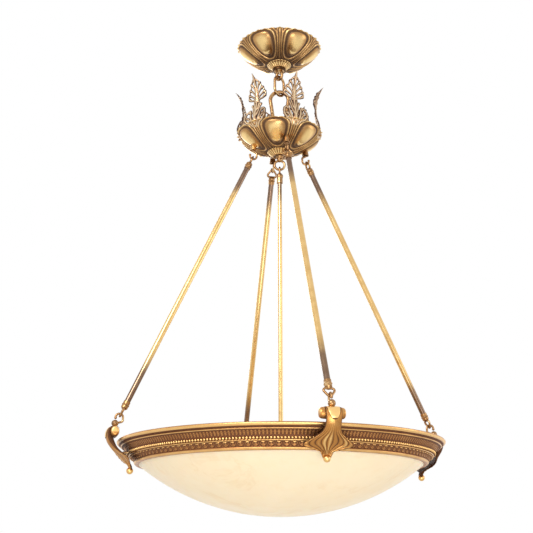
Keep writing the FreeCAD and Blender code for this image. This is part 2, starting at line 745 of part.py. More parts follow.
def bowl():
    """Shallow cap of a sphere with an upright rim that steps out over the ring's ledge."""
    mouth, depth, wall = value(MOUTH_RADIUS), value("bowl_depth"), value("bowl_wall")
    rim, foot = value(FOOT_RADIUS), value(BOWL_FOOT)
    bend = (mouth**2 + depth**2) / (2 * depth)
    step = value(f"{RING_FOOT} + ledge_height + seat_gap")
    shoulder = step + value("bowl_rim_height") - wall / 2

    def at(radius, sphere):
        return Vector(radius, 0, foot + bend - math.sqrt(sphere**2 - radius**2))

    inner, edge = bend - wall, rim - wall
    under, within = at(mouth, bend), at(edge, inner)
    throat, ledge = Vector(mouth, 0, step), Vector(rim, 0, step)
    outer_top, inner_top = Vector(rim, 0, shoulder), Vector(edge, 0, shoulder)
    crest = Vector(rim - wall / 2, 0, shoulder + wall / 2)
    edges = [Part.Arc(at(0, bend), at(rim / 2, bend), under), Part.LineSegment(under, throat),
             Part.LineSegment(throat, ledge), Part.LineSegment(ledge, outer_top),
             Part.Arc(outer_top, crest, inner_top), Part.LineSegment(inner_top, within),
             Part.Arc(within, at(edge / 2, inner), at(0, inner)),
             Part.LineSegment(at(0, inner), at(0, bend))]
    return Part.Face(Part.Wire([edge.toShape() for edge in edges])).revolve(ORIGIN, UP, 360)


# ---------------------------------------------------------------- brackets
HEAD_OUTLINE = ((0, 12), (13, 8), (19, -6), (15, -20), (4, -34))  # from the scroll's centre, over its back
HEAD_INSIDE = ((2, -11), (-2, -24), (-9, -33))  # from the scroll's centre, up its front
FOOT_OUTLINE = ((28, 28), (9, 11), (3, -2))  # from the knob's centre, down its back
TOE, SEAT = (-8, 4), (-14, 22)  # from the knob's centre, the two corners against the ring
LEAF_TIP, LEAF_WAIST, LEAF_END = 27, 16, -4  # heights of the leaf's corners over the knob's centre
NECK_TOP, NECK_FOOT = 14, -42  # heights of the neck's ends over the scroll's centre


def bracket_anchors():
    head = Vector(value("ring_radius + bracket_out"), 0, value("bracket_up - ring_drop"))
    foot = Vector(value(f"{FOOT_RADIUS} + bracket_out"), 0, value(f"{RING_FOOT} - bracket_down"))
    return head, foot


def bracket(ring_space):
    """Scroll-topped bracket with a flared leaf and a knob, its back cut to the ring."""
    head, foot = bracket_anchors()
    scroll = value("bracket_scroll")
    width, leaf = value("bracket_width"), value("bracket_leaf_width")
    deep = leaf  # half the width of the stock, wider than the leaf

    def near(anchor, pairs):
        return [anchor + Vector(x, -deep, z) for x, z in pairs]

    back = Part.BSplineCurve()
    back.interpolate(near(head, HEAD_OUTLINE) + near(foot, FOOT_OUTLINE))
    front = Part.BSplineCurve()
    front.interpolate(near(head, HEAD_INSIDE))
    toe, seat = near(foot, (TOE, SEAT))
    start, end = back.toShape().firstVertex().Point, back.toShape().lastVertex().Point
    inside = front.toShape()
    edges = [back.toShape(), Part.LineSegment(end, toe).toShape(), Part.LineSegment(toe, seat).toShape(),
             Part.LineSegment(seat, inside.lastVertex().Point).toShape(), inside,
             Part.LineSegment(inside.firstVertex().Point, start).toShape()]
    side_view = Part.Face(Part.Wire(Part.__sortEdges__(edges))).extrude(Vector(0, 2 * deep, 0))
    x = foot.x - width
    half, knob = width / 2, value("bracket_knob")
    heights = [head.z + NECK_TOP, head.z + NECK_FOOT, foot.z + LEAF_TIP, foot.z + LEAF_WAIST,
               foot.z + LEAF_END]
    halves = [half, half, leaf / 2, half * 1.2, knob * 0.8]
    right = [Vector(x, h, z) for h, z in zip(halves, heights)]
    left = [Vector(x, -h, z) for h, z in zip(reversed(halves), reversed(heights))]
    front_view = face_of(right + left).extrude(Vector(head.x + width - x, 0, 0))
    body = side_view.common(front_view)
    roll = Part.makeCylinder(scroll, value("bracket_scroll_width"),
                             Vector(head.x, -value("bracket_scroll_width") / 2, head.z), Vector(0, 1, 0))
    body = body.fuse([roll, ball(knob, foot.x, 0, foot.z)])
    for start in boss_starts():
        body = body.fuse(Part.makeCylinder(value("boss_radius"), 34, start, Vector(1, 0, 0)))
    return body.cut(ring_space).removeSplitter()


def boss_starts():
    """Where the axes of a bracket's two screws leave the ring's inner side."""
    height = value(f"{RING_FOOT} + boss_rise")
    reach = value(f"{FOOT_RADIUS} + screw_seat_out")
    return [Vector(reach, side * value("boss_spacing / 2"), height) for side in (-1, 1)]


def bracket_screws():
    """The two screws of one bracket, and the holes that they need in the ring and the bracket."""
    along = Vector(1, 0, 0)
    radius, head, length = value("screw_radius"), value("screw_head"), value("screw_length")
    height = value("screw_head_height")
    hole, recess = radius + value("thread_gap"), head + 2 * value("seat_gap")
    screws, ways = [], []
    for start in boss_starts():
        under = start - along * value("seat_gap")
        shank = Part.makeCylinder(radius, length, under, along)
        screws.append(Part.makeCylinder(head, height, under - along * height, along).fuse(shank))
        reach = 10 * height
        way = Part.makeCylinder(recess, reach, start - along * reach, along)
        ways.append(way.fuse(Part.makeCylinder(hole, length + 1, start, along)))
    return screws, ways


def scroll_seat():
    """Middle of the flat on top of a scroll, under the hook's ball nut."""
    head, _ = bracket_anchors()
    return head + Vector(-3, 0, 12)


def bracket_hook():
    """Hook with its ball nut on top of the scroll."""
    centre = Vector(value(HOOK_RADIUS), 0, value(HOOK_LEVEL))
    bend, wire, radius = value("bracket_hook_bend"), value("hook_wire"), value("bracket_ball")
    seat = scroll_seat() + UP * value("seat_gap")
    stem = seat + UP * radius * 0.8
    corners = [stem, Vector(centre.x - bend, 0, centre.z - bend - 1.2),
               Vector(centre.x - bend, 0, centre.z + bend), Vector(centre.x + bend, 0, centre.z + bend),
               Vector(centre.x + bend, 0, centre.z - wire / 2)]
    path = chain_of(corners, [0, 2 * wire, bend * 0.999, bend * 0.999, 0])
    nut = ball(radius, stem.x, 0, stem.z).cut(post(2 * radius, seat.z - radius, seat.z, stem.x))
    stud = post(wire, seat.z - value("bracket_stud"), stem.z, stem.x)
    tip = ball(wire * 1.25, corners[-1].x, 0, corners[-1].z)
    return wire_rod(path, wire).fuse([nut, stud, tip]).removeSplitter()


def ring_space():
    """The room that the ring takes, with the seat gap round its outside."""
    gap = value("seat_gap")
    outer = [Vector(value(radius) + gap, 0, value(f"{height} + {RING_FOOT}"))
             for radius, height in ring_outline()[:len(MOULDING)]]
    top, low = value("seat_gap - ring_drop"), value(f"{RING_FOOT} - seat_gap")
    corners = [Vector(0, 0, top), Vector(outer[0].x, 0, top)] + outer[1:-1]
    corners += [Vector(outer[-1].x, 0, low), Vector(0, 0, low)]
    return face_of(corners).revolve(ORIGIN, UP, 360)


def bowl_parts():
    screws, ways = bracket_screws()
    moulding = turned("ring_moulding", ring_outline(), RING_FOOT)
    PIECES.remove(moulding)
    holes = doc.addObject("Part::Feature", "ring_screw_holes")
    holes.Shape = Part.makeCompound([spun(way, turn) for way in ways for turn in SIDES.values()])
    ring = doc.addObject("Part::Cut", "ring_drilled")
    ring.Base, ring.Tool = moulding, holes
    keep(ring, "bowl_ring")
    cast("alabaster_bowl", bowl())
    seat = scroll_seat()
    depth = value("bracket_stud + 1")
    stud_way = post(value("hook_wire + thread_gap"), seat.z - depth, seat.z, seat.x)
    above = post(value("bracket_width"), seat.z, seat.z + depth, seat.x)
    arm = bracket(ring_space()).cut([stud_way, above] + ways)
    for side, turn in SIDES.items():
        cast(f"bracket_{side}", arm, turn)
        cast(f"bracket_hook_{side}", bracket_hook(), turn)
    placed = [spun(screw, turn) for screw in screws for turn in SIDES.values()]
    cast("bracket_screws", Part.makeCompound(placed))


# ---------------------------------------------------------------- lamp stem
def stem_parts():
    wire = value("stem_wire")
    half = value("stem_eye_width / 2 - stem_wire")
    top = value(f"{LOOP_FOOT} + finial_wire + stem_wire + seat_gap")
    foot = top - value("stem_eye_height - 2 * stem_wire")
    corners = [Vector(0, -half, foot), Vector(0, half, foot), Vector(0, half, top),
               Vector(0, -half, top)]
    path = chain_of(corners, [half * 0.99] * 4, closed=True)
    knob = ball(value("stem_ball"), 0, 0, foot - value("stem_ball") * 0.7)
    neck_foot = foot - value("stem_ball") * 1.4 - 12
    neck = post(value("stem_neck + 1"), neck_foot, foot - value("stem_ball"))
    tube_top = foot - value("stem_ball") * 1.2
    bore = post(value("stem_radius + thread_gap"), neck_foot, tube_top)
    eye = wire_rod(path, wire).fuse([knob, neck]).cut(bore).removeSplitter()
    cast("stem_eye", eye, value("chain_turn"))
    tube_foot = value(f"{CLUSTER} - stem_reach")
    tube = post(value("stem_radius"), tube_foot, tube_top - value("seat_gap"))
    cast("stem_tube", tube.cut(post(value("stem_radius - stem_wall"), tube_foot, tube_top)))
    lamp_cluster()


def lamp_cluster():
    """Turned body under the stem with a cover, four holders pointing outwards, and four lamps."""
    radius, height, wall = value("cluster_radius"), value("cluster_height"), value("cluster_wall")
    top, gap = value(CLUSTER), value("seat_gap")
    hole = value("stem_radius + thread_gap")
    spigot, slack = value("holder_spigot"), value("thread_gap")
    holder, length, thick = value("holder_radius"), value("holder_length"), value("holder_wall")
    middle = top - height / 2
    along = Vector(1, 0, 0)
    body = post(radius, top - height, top).cut(post(radius - wall, top - height + wall, top - wall))
    body = body.cut(post(hole, top - wall, top))
    way = Part.makeCylinder(spigot + slack, radius, Vector(0, 0, middle), along)
    for turn in SIDES.values():
        body = body.cut(spun(way.cut(post(radius - 2 * wall, top - height, top)), turn))
    cast("cluster_body", body)
    cover, slope, rim = radius / 2, value("cover_slope"), top + value("cover_rim")
    cap = post(cover, top + gap, rim).fuse(Part.makeCone(cover, hole + 2, slope, Vector(0, 0, rim)))
    cast("cluster_cap", cap.cut(post(hole, top, rim + slope)).removeSplitter())
    start = Vector(radius + gap, 0, middle)
    floor, reach_in = value("holder_floor"), value("spigot_length")
    shell = Part.makeCylinder(holder, length, start, along)
    shell = shell.cut(Part.makeCylinder(holder - thick, length, start + along * floor, along))
    shell = shell.fuse(Part.makeCylinder(spigot, reach_in, start - along * (reach_in - 1), along))
    lamp_start = start + along * (floor + gap)
    cap_radius, bulb, reach = value("lamp_cap"), value("lamp_radius"), value("lamp_length")
    cap_length, flare = value("lamp_cap_length"), value("lamp_flare")
    lamp = Part.makeCylinder(cap_radius, cap_length, lamp_start, along)
    lamp = lamp.fuse([Part.makeSphere(bulb, lamp_start + along * (reach - bulb)),
                      Part.makeCone(cap_radius, bulb * 0.9, flare, lamp_start + along * cap_length, along)])
    for side, turn in SIDES.items():
        cast(f"lamp_holder_{side}", shell, turn)
    cast("lamps", Part.makeCompound([spun(lamp, turn) for turn in SIDES.values()]))


ceiling_parts()
chain_link()
crown_parts()
hanging_rods()
bowl_parts()
stem_parts()
doc.recompute()

faulty = [thing.Name for thing in doc.Objects if {"Invalid", "Error"} & set(thing.State)]
faulty += [thing.Label for thing in PIECES if thing.Shape.isNull() or not thing.Shape.isValid()]
if faulty:
    raise RuntimeError(f"failed: {faulty}")
os.makedirs("parts", exist_ok=True)
for thing in PIECES:
    thing.Shape.exportStep(f"parts/{thing.Label}.step")
print(len(PIECES), "sub-parts")
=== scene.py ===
# %% [markdown]
# # An alabaster bowl pendant, dressed in Blender
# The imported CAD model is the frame: it says where every casting, hook and rod is. This lesson puts the
# surface of the real lamp round it. Most of the lamp is cast brass with an antique finish, so most cells
# work out a relief with numpy, and then colour its hollows dark and its crests gold. All lengths are metres.

# %% The frame
import math
import bpy
import bmesh
import numpy as np
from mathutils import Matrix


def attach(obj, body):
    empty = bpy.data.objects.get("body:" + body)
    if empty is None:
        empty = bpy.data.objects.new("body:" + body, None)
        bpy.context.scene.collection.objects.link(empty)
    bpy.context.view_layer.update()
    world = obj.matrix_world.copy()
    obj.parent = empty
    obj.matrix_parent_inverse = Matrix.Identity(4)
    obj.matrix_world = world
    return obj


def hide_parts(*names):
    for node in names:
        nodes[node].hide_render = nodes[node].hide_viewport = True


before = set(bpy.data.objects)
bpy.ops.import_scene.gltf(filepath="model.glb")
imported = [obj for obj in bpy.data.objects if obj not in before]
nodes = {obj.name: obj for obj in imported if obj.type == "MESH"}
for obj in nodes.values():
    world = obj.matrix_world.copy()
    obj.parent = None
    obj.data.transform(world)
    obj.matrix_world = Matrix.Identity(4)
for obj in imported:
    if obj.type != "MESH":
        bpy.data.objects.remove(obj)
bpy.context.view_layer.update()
MM = 0.001
SIDES = {"front": -90.0, "right": 0.0, "back": 90.0, "left": 180.0}  # turn of each rod about Z

# %% [markdown]
# ## The camera
# The photograph was taken from a little below the bowl, looking up. A camera fitted to the ring, the rods
# and the canopy gave its place; it turns with Euler angles, first up and then about Z.

# %% Camera
FOCAL_SHARE = 975.017 / 533  # focal length as a share of the picture's width
SENSOR = 36.0
PITCH, HEADING = 0.301, 0.25  # radians, up from the horizon and clockwise from +Y

camera_data = bpy.data.cameras.new("camera")
camera_data.sensor_width = SENSOR
camera_data.lens = FOCAL_SHARE * SENSOR
camera = bpy.data.objects.new("camera", camera_data)
camera.location = (-0.5624, -2.0760, -1.2335)
camera.rotation_euler = (math.pi / 2 + PITCH, 0, -HEADING)
bpy.context.scene.collection.objects.link(camera)
bpy.context.scene.camera = camera
bpy.context.scene.view_settings.view_transform = "Standard"
print("lens", round(camera_data.lens, 2), "mm")

# %% [markdown]
# ## Helpers for surfaces
# A surface is a grid of points: rows run along one parameter and columns along the other. The same few
# helpers join the grid into quads, close it into a loop, and find its hollows, where the patina stays and the
# shade is painted.


# %% Grid to faces
def grid_faces(rows, columns, close_rows=False, close_columns=False):
    """Quads between neighbours: point (i, j) joins (i, j+1), (i+1, j+1) and (i+1, j); closed ways wrap."""
    i = np.arange(rows if close_rows else rows - 1)[:, None]
    j = np.arange(columns if close_columns else columns - 1)[None, :]
    down, across = (i + 1) % rows, (j + 1) % columns
    corners = [i * columns + j, i * columns + across, down * columns + across, down * columns + j]
    return np.stack(corners, axis=-1).reshape(-1, 4)


# %% Arrays to a mesh
def make_piece(name, points, faces, recess=None, weld=True):
    """A smooth mesh from arrays of corners and faces; recess is 0 on a crest and 1 in a hollow."""
    points = np.asarray(points, float).reshape(-1, 3)
    mesh = bpy.data.meshes.new(name)
    mesh.vertices.add(len(points))
    mesh.vertices.foreach_set("co", points.astype(np.float32).ravel())
    mesh.loops.add(faces.size)
    mesh.loops.foreach_set("vertex_index", faces.astype(np.int32).ravel())
    mesh.polygons.add(len(faces))
    mesh.polygons.foreach_set("loop_start", np.arange(len(faces), dtype=np.int32) * faces.shape[1])
    mesh.update(calc_edges=True)
    mesh.polygons.foreach_set("use_smooth", np.ones(len(faces), bool))
    if recess is not None:
        layer = mesh.attributes.new("recess", "FLOAT", "POINT")
        layer.data.foreach_set("value", np.asarray(recess, np.float32).ravel())
    mesh.validate()
    if weld:
        shape = bmesh.new()
        shape.from_mesh(mesh)
        bmesh.ops.remove_doubles(shape, verts=shape.verts, dist=2e-6)
        bmesh.ops.recalc_face_normals(shape, faces=shape.faces)
        shape.to_mesh(mesh)
        shape.free()
    piece = bpy.data.objects.new(name, mesh)
    bpy.context.scene.collection.objects.link(piece)
    return piece


# %% Hollows of a grid
def spread(grid, step):
    """Mean of the four neighbours a few steps away; columns wrap round, and the end rows repeat."""
    rows = np.arange(len(grid))
    above = grid[np.clip(rows - step, 0, len(grid) - 1)]
    below = grid[np.clip(rows + step, 0, len(grid) - 1)]
    return (above + below + np.roll(grid, step, axis=1) + np.roll(grid, -step, axis=1)) / 4


def hollows(height, scale, steps):
    """0.5 plus how far each point lies under its neighbours, over a scale, kept between 0 and 1."""
    depth = sum(spread(height, step) - height for step in steps)
    return np.clip(0.5 + depth / scale, 0, 1)


# %% Turning and joining
def turned_about_z(points, degrees):
    """Points turned about the lamp's axis."""
    angle = math.radians(degrees)
    cosine, sine = math.cos(angle), math.sin(angle)
    turn = np.array([[cosine, -sine, 0], [sine, cosine, 0], [0, 0, 1]])
    return np.asarray(points) @ turn.T


def joined(parts):
    """One set of arrays from several (points, faces, recess) sets, with the corners counted on."""
    start, points, faces, recess = 0, [], [], []
    for part_points, part_faces, part_recess in parts:
        part_points = np.asarray(part_points).reshape(-1, 3)
        points.append(part_points)
        faces.append(part_faces + start)
        recess.append(np.asarray(part_recess, float).ravel())
        start += len(part_points)
    return np.concatenate(points), np.concatenate(faces), np.concatenate(recess)


def dress(piece, body, slot, *replaced):
    """The piece rides on a body and stands for CAD nodes; the slot is not used."""
    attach(piece, body)
    if replaced:
        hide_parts(*replaced)
    print(piece.name, len(piece.data.polygons), "faces on", body)
    return piece

# %% [markdown]
# ## Finishes
# The castings are antique brass: gold where hands and cloths have worn it, and dark brown where the
# patina was left. The same colours also paint light and shade: the crests are lightened as a painted
# highlight and the hollows darkened as painted shade. One node group does this for every casting. It
# reads the recess attribute that each surface carries, stirs it with noise so that the edge of the patina
# and the painted shade wanders, and gives out a colour, a roughness, how metallic the place is, and a fine
# height for the bump.


# %% A small way of wiring nodes
class Wiring:
    """Adds nodes to a tree and joins them by name, so that a material reads as a list."""

    def __init__(self, tree):
        self.tree = tree

    def node(self, kind, inputs=None, **settings):
        made = self.tree.nodes.new(kind)
        for key, setting in settings.items():
            setattr(made, key, setting)
        for key, source in (inputs or {}).items():
            socket = made.inputs[key]
            if isinstance(source, bpy.types.NodeSocket):
                self.tree.links.new(source, socket)
            else:
                socket.default_value = source
        return made

    def math(self, operation, first, second=0.0):
        return self.node("ShaderNodeMath", {0: first, 1: second}, operation=operation).outputs[0]

    def blend(self, factor, low, high):
        made = self.node("ShaderNodeMix", {0: factor, 6: low, 7: high}, data_type="RGBA")
        return made.outputs[2]

    def remap(self, value, low, high, to_low=0.0, to_high=1.0):
        """Value from one range to another, kept inside it and eased at both ends."""
        return self.node("ShaderNodeMapRange", {0: value, 1: low, 2: high, 3: to_low, 4: to_high},
                         interpolation_type="SMOOTHSTEP").outputs[0]

    def noise(self, place, scale, detail=3.0, roughness=0.55, distortion=0.0):
        made = self.node("ShaderNodeTexNoise", {"Vector": place, "Scale": scale, "Detail": detail,
                                                "Roughness": roughness, "Distortion": distortion})
        return made.outputs["Fac"]


def colour(red, green, blue):
    """A screen colour, 0 to 255, as the linear colour that a shader takes."""
    share = np.array([red, green, blue]) / 255
    linear = np.where(share <= 0.04045, share / 12.92, ((share + 0.055) / 1.055) ** 2.4)
    return (*linear.tolist(), 1.0)


# %% Patina group
# The group paints patina, and with it painted shade in the hollows and a painted highlight on the crests.
def patina_and_shade_group():
    group = bpy.data.node_groups.new("patina", "ShaderNodeTree")
    face = group.interface
    for name in ("Crest", "Field", "Hollow"):
        face.new_socket(name, in_out="INPUT", socket_type="NodeSocketColor")
    for name, start in (("Recess", 0.5), ("Patches", 0.25), ("Polish", 0.28)):
        face.new_socket(name, in_out="INPUT", socket_type="NodeSocketFloat").default_value = start
    face.new_socket("Colour", in_out="OUTPUT", socket_type="NodeSocketColor")
    for name in ("Roughness", "Metallic", "Height"):
        face.new_socket(name, in_out="OUTPUT", socket_type="NodeSocketFloat")
    w = Wiring(group)
    given = w.node("NodeGroupInput").outputs
    out = w.node("NodeGroupOutput").inputs
    place = w.node("ShaderNodeTexCoord").outputs["Object"]
    cloudy = w.noise(place, 38.0, 4.0)
    fine = w.noise(place, 420.0, 2.0)
    stirred = w.math("MULTIPLY", w.math("SUBTRACT", cloudy, 0.5), given["Patches"])
    depth = w.math("ADD", given["Recess"], stirred)
    depth = w.math("ADD", depth, w.math("MULTIPLY", w.math("SUBTRACT", fine, 0.5), 0.12))
    # Deep places take the hollow colour, patina with painted shade; high places take the crest colour, worn
    # brass with a painted highlight.
    dark = w.remap(depth, 0.5, 0.88)
    bright = w.remap(depth, 0.5, 0.16)
    shade = w.blend(bright, given["Field"], given["Crest"])
    w.tree.links.new(w.blend(dark, shade, given["Hollow"]), out["Colour"])
    rough = w.math("ADD", given["Polish"], w.math("MULTIPLY", dark, 0.3))
    rough = w.math("ADD", rough, w.math("MULTIPLY", w.math("SUBTRACT", cloudy, 0.5), 0.16))
    w.tree.links.new(rough, out["Roughness"])
    w.tree.links.new(w.math("SUBTRACT", 1.0, w.math("MULTIPLY", dark, 0.35)), out["Metallic"])
    height = w.math("ADD", w.math("MULTIPLY", fine, 0.4), w.math("MULTIPLY", cloudy, 0.6))
    w.tree.links.new(height, out["Height"])
    return group


PATINA_AND_SHADE = patina_and_shade_group()


# %% Cast brass
BUMP = 0.25 * MM  # depth of the castings' fine grain


def brass(name, crest, field, hollow, polish=0.28, patches=0.25, recess=None):
    """Antique brass; without a recess number the material reads the piece's recess attribute."""
    material = bpy.data.materials.new(name)
    material.use_nodes = True
    w = Wiring(material.node_tree)
    shader = material.node_tree.nodes["Principled BSDF"]
    if recess is None:
        recess = w.node("ShaderNodeAttribute", attribute_name="recess").outputs["Fac"]
    mixed = w.node("ShaderNodeGroup", node_tree=PATINA_AND_SHADE)
    for key, given in (("Crest", crest), ("Field", field), ("Hollow", hollow), ("Polish", polish),
                       ("Patches", patches), ("Recess", recess)):
        if isinstance(given, bpy.types.NodeSocket):
            w.tree.links.new(given, mixed.inputs[key])
        else:
            mixed.inputs[key].default_value = given
    height = w.node("ShaderNodeBump", {"Height": mixed.outputs["Height"], "Distance": BUMP, "Strength": 0.6})
    for key, source in (("Base Color", mixed.outputs["Colour"]), ("Roughness", mixed.outputs["Roughness"]),
                        ("Metallic", mixed.outputs["Metallic"]), ("Normal", height.outputs[0])):
        w.tree.links.new(source, shader.inputs[key])
    return material


# Crest colours are worn brass and a painted highlight; hollow colours are patina and painted shade.
GOLD, OCHRE, UMBER = colour(254, 220, 154), colour(188, 144, 92), colour(92, 66, 46)
CAST_BRASS = brass("cast brass", GOLD, OCHRE, UMBER)
RING_BRASS = brass("ring brass", colour(246, 200, 130), colour(182, 126, 74), colour(112, 70, 44),
                   polish=0.34)
LEAF_BRASS = brass("leaf brass", colour(238, 212, 172), colour(150, 112, 82), colour(66, 46, 38), polish=0.3,
                   patches=0.5)
WIRE_BRASS = brass("wire brass", colour(244, 214, 160), colour(164, 124, 82), colour(80, 56, 42), recess=0.52,
                   patches=1.2)
DARK_BRASS = brass("dark brass", colour(150, 108, 64), colour(92, 64, 40), colour(48, 32, 22), recess=0.55,
                   patches=0.6, polish=0.34)
print("finishes", [m.name for m in bpy.data.materials])

# %% [markdown]
# The rods are satin brass tubes that the finisher left golden in the middle and smoked dark at both ends.
# The smoke follows the height of a point, so it is worked out from Object coordinates, with a little noise
# so that no two rods fade at quite the same place.


# %% Smoked tubes
def smoked_tube(name, stations):
    """Brass that goes from gold to smoked and back; stations are (height, share of smoke), top down."""
    material = bpy.data.materials.new(name)
    material.use_nodes = True
    w = Wiring(material.node_tree)
    shader = material.node_tree.nodes["Principled BSDF"]
    place = w.node("ShaderNodeTexCoord").outputs["Object"]
    height = w.node("ShaderNodeSeparateXYZ", {0: place}).outputs["Z"]
    wander = w.noise(place, 9.0, 2.0)
    height = w.math("ADD", height, w.math("MULTIPLY", w.math("SUBTRACT", wander, 0.5), 0.05))
    top, foot = stations[0][0], stations[-1][0]
    ramp = w.node("ShaderNodeValToRGB", {0: w.math("DIVIDE", w.math("SUBTRACT", top, height), top - foot)})
    stops = ramp.color_ramp.elements
    while len(stops) < len(stations):
        stops.new(0.5)
    for stop, (level, smoke) in zip(stops, stations):
        stop.position = (top - level) / (top - foot)
        stop.color = (smoke, smoke, smoke, 1)
    smoke = ramp.outputs["Color"]
    cloudy = w.noise(place, 60.0, 2.0)
    gold = w.blend(cloudy, colour(214, 172, 108), colour(238, 204, 142))
    smoked = w.blend(cloudy, colour(104, 80, 66), colour(138, 114, 98))
    w.tree.links.new(w.blend(smoke, gold, smoked), shader.inputs["Base Color"])
    w.tree.links.new(w.remap(cloudy, 0.3, 0.7, 0.2, 0.28), shader.inputs["Roughness"])
    shader.inputs["Metallic"].default_value = 1.0
    return material


ROD_BRASS = smoked_tube("rod brass", (
    (-0.31, 1.0), (-0.375, 0.95), (-0.41, 0.12), (-0.47, 0.0),
    (-0.785, 0.0), (-0.815, 0.3), (-0.84, 0.9), (-0.92, 1.0)))
STEM_BRASS = smoked_tube("stem brass", (
    (-0.33, 0.95), (-0.38, 0.8), (-0.42, 0.1), (-0.5, 0.0),
    (-0.8, 0.0), (-0.92, 0.1), (-0.99, 0.5), (-1.02, 0.6)))

# %% [markdown]
# Alabaster is a soft stone that lets a little light in. Its ground is cream, with clouds of a warmer
# tone, and a few thin veins where a distorted noise crosses its middle value.


# %% Alabaster
def alabaster():
    material = bpy.data.materials.new("alabaster")
    material.use_nodes = True
    w = Wiring(material.node_tree)
    shader = material.node_tree.nodes["Principled BSDF"]
    place = w.node("ShaderNodeTexCoord").outputs["Object"]
    clouds = w.noise(place, 5.5, 4.0, 0.6, 0.8)
    mottle = w.noise(place, 42.0, 3.0, 0.6)
    line = w.noise(place, 3.2, 5.0, 0.62, 1.8)
    near = w.math("ABSOLUTE", w.math("SUBTRACT", line, 0.5))
    vein = w.math("MULTIPLY", w.remap(near, 0.03, 0.0), w.remap(clouds, 0.42, 0.62))
    ground = w.blend(w.remap(clouds, 0.35, 0.68), colour(245, 227, 194), colour(243, 223, 187))
    ground = w.blend(w.remap(mottle, 0.5, 0.75, 0.0, 0.2), ground, colour(238, 214, 170))
    veined = w.blend(w.math("MULTIPLY", vein, 0.3), ground, colour(228, 196, 144))
    w.tree.links.new(veined, shader.inputs["Base Color"])
    w.tree.links.new(w.remap(mottle, 0.3, 0.7, 0.3, 0.42), shader.inputs["Roughness"])
    shader.inputs["Subsurface Weight"].default_value = 0.25
    shader.inputs["Subsurface Radius"].default_value = (1.0, 0.7, 0.4)
    shader.inputs["Subsurface Scale"].default_value = 0.012
    return material


ALABASTER = alabaster()

# %% [markdown]
# ## The cast rosette
# The canopy and the crown's dish come from one pattern: six convex petals with a double raised border,
# a triple rib between each pair, a beaded rim, a little crescent shelf at each petal's foot, and a fluted
# cone. The plain form is a superellipse turned about the axis, r = root + (rim - root) cos(t)^p and
# depth = D sin(t)^p. The relief is pushed out of it as a function of the angle round and of t.

# %% Rosette sizes
RIM, ROOT, TIP = 100 * MM, 30 * MM, 17 * MM
DEPTH, CONE = 45 * MM, 12 * MM
BELLY = 2 / 1.4  # exponent p of the parametric superellipse
PETALS, RIM_BEADS, FLUTES = 6, 36, 24
PETAL_HALF = 17.6  # degrees from a petal's middle to its edge
PETAL_MIDDLE, PETAL_REACH = 0.44, 0.345  # where a petal lies between the rim and the root, as shares
SHELF_HALF = 10  # degrees from a petal's middle to the end of its shelf
SHELL, HOLE_R = 3.2 * MM, 13.6 * MM  # the casting's wall, and the hole at the cone's tip
ROSETTE_COLUMNS, ROSETTE_ROWS, CONE_ROWS, INSIDE_ROWS = 648, 78, 14, 26


# %% Relief of the rosette
def ridge(distance, width):
    """A round ridge: 1 on its line, falling off as exp(-(distance / width)^2)."""
    return np.exp(-(distance / width) ** 2)


def rosette_relief(angle, t):
    """Height of the casting over the plain form and how dark it is, patina with a painted highlight and
    painted shade; t runs from the rim to the root.
    """
    pitch = 360 / PETALS
    from_rib = (np.degrees(angle) + pitch / 2) % pitch - pitch / 2
    across = pitch / 2 - np.abs(from_rib)  # degrees from a petal's middle
    oval = (np.abs(across / PETAL_HALF) ** 2.5 + np.abs((t - PETAL_MIDDLE) / PETAL_REACH) ** 2.5) ** 0.4
    dome = np.clip(1 - oval**2, 0, 1)
    boss = 6.8 * dome**0.62 * (1 - 0.3 * t)
    fade = np.clip((1.02 - t) / 0.15, 0, 1)
    border = (2.2 * ridge(oval - 1.25, 0.075) + 1.2 * ridge(oval - 1.5, 0.06)) * fade
    spread_out = 1 + 0.5 * np.exp(-t / 0.12)
    ribs = (1.9 * ridge(from_rib, 1.3 * spread_out) + 1.1 * ridge(np.abs(from_rib) - 3.8, 0.9)) * fade
    shelf_line = 0.66 - 0.05 * (across / 9) ** 2
    shelf_end = np.clip(1 - (across / SHELF_HALF) ** 2, 0, 1)
    shelf = 1.8 * ridge(t - shelf_line, 0.022) * shelf_end
    shade_under_shelf = ridge(t - shelf_line - 0.05, 0.03) * shelf_end
    beads = 0.5 + 0.5 * np.cos(angle * RIM_BEADS)
    rim = (1.2 + 2.8 * beads) * ridge(t, 0.05)
    # Colour: patina darkens the hollows. The boss's middle and the raised lines, the shelf's crescent most of
    # all, are lightened as a painted highlight. A band under each shelf is darkened as painted shade, and the
    # colour darkens a little towards the root.
    lines = np.clip(border / 2.2 + ribs / 2.4 + shelf / 1.6 + rim / 3.4, 0, 1)
    dark = 0.86 - 0.76 * dome**0.85 - 0.6 * lines + 0.1 * t + 0.3 * shade_under_shelf
    dark = np.clip(dark, 0.04, 1)
    return (boss + border + ribs + shelf + rim) * MM, dark


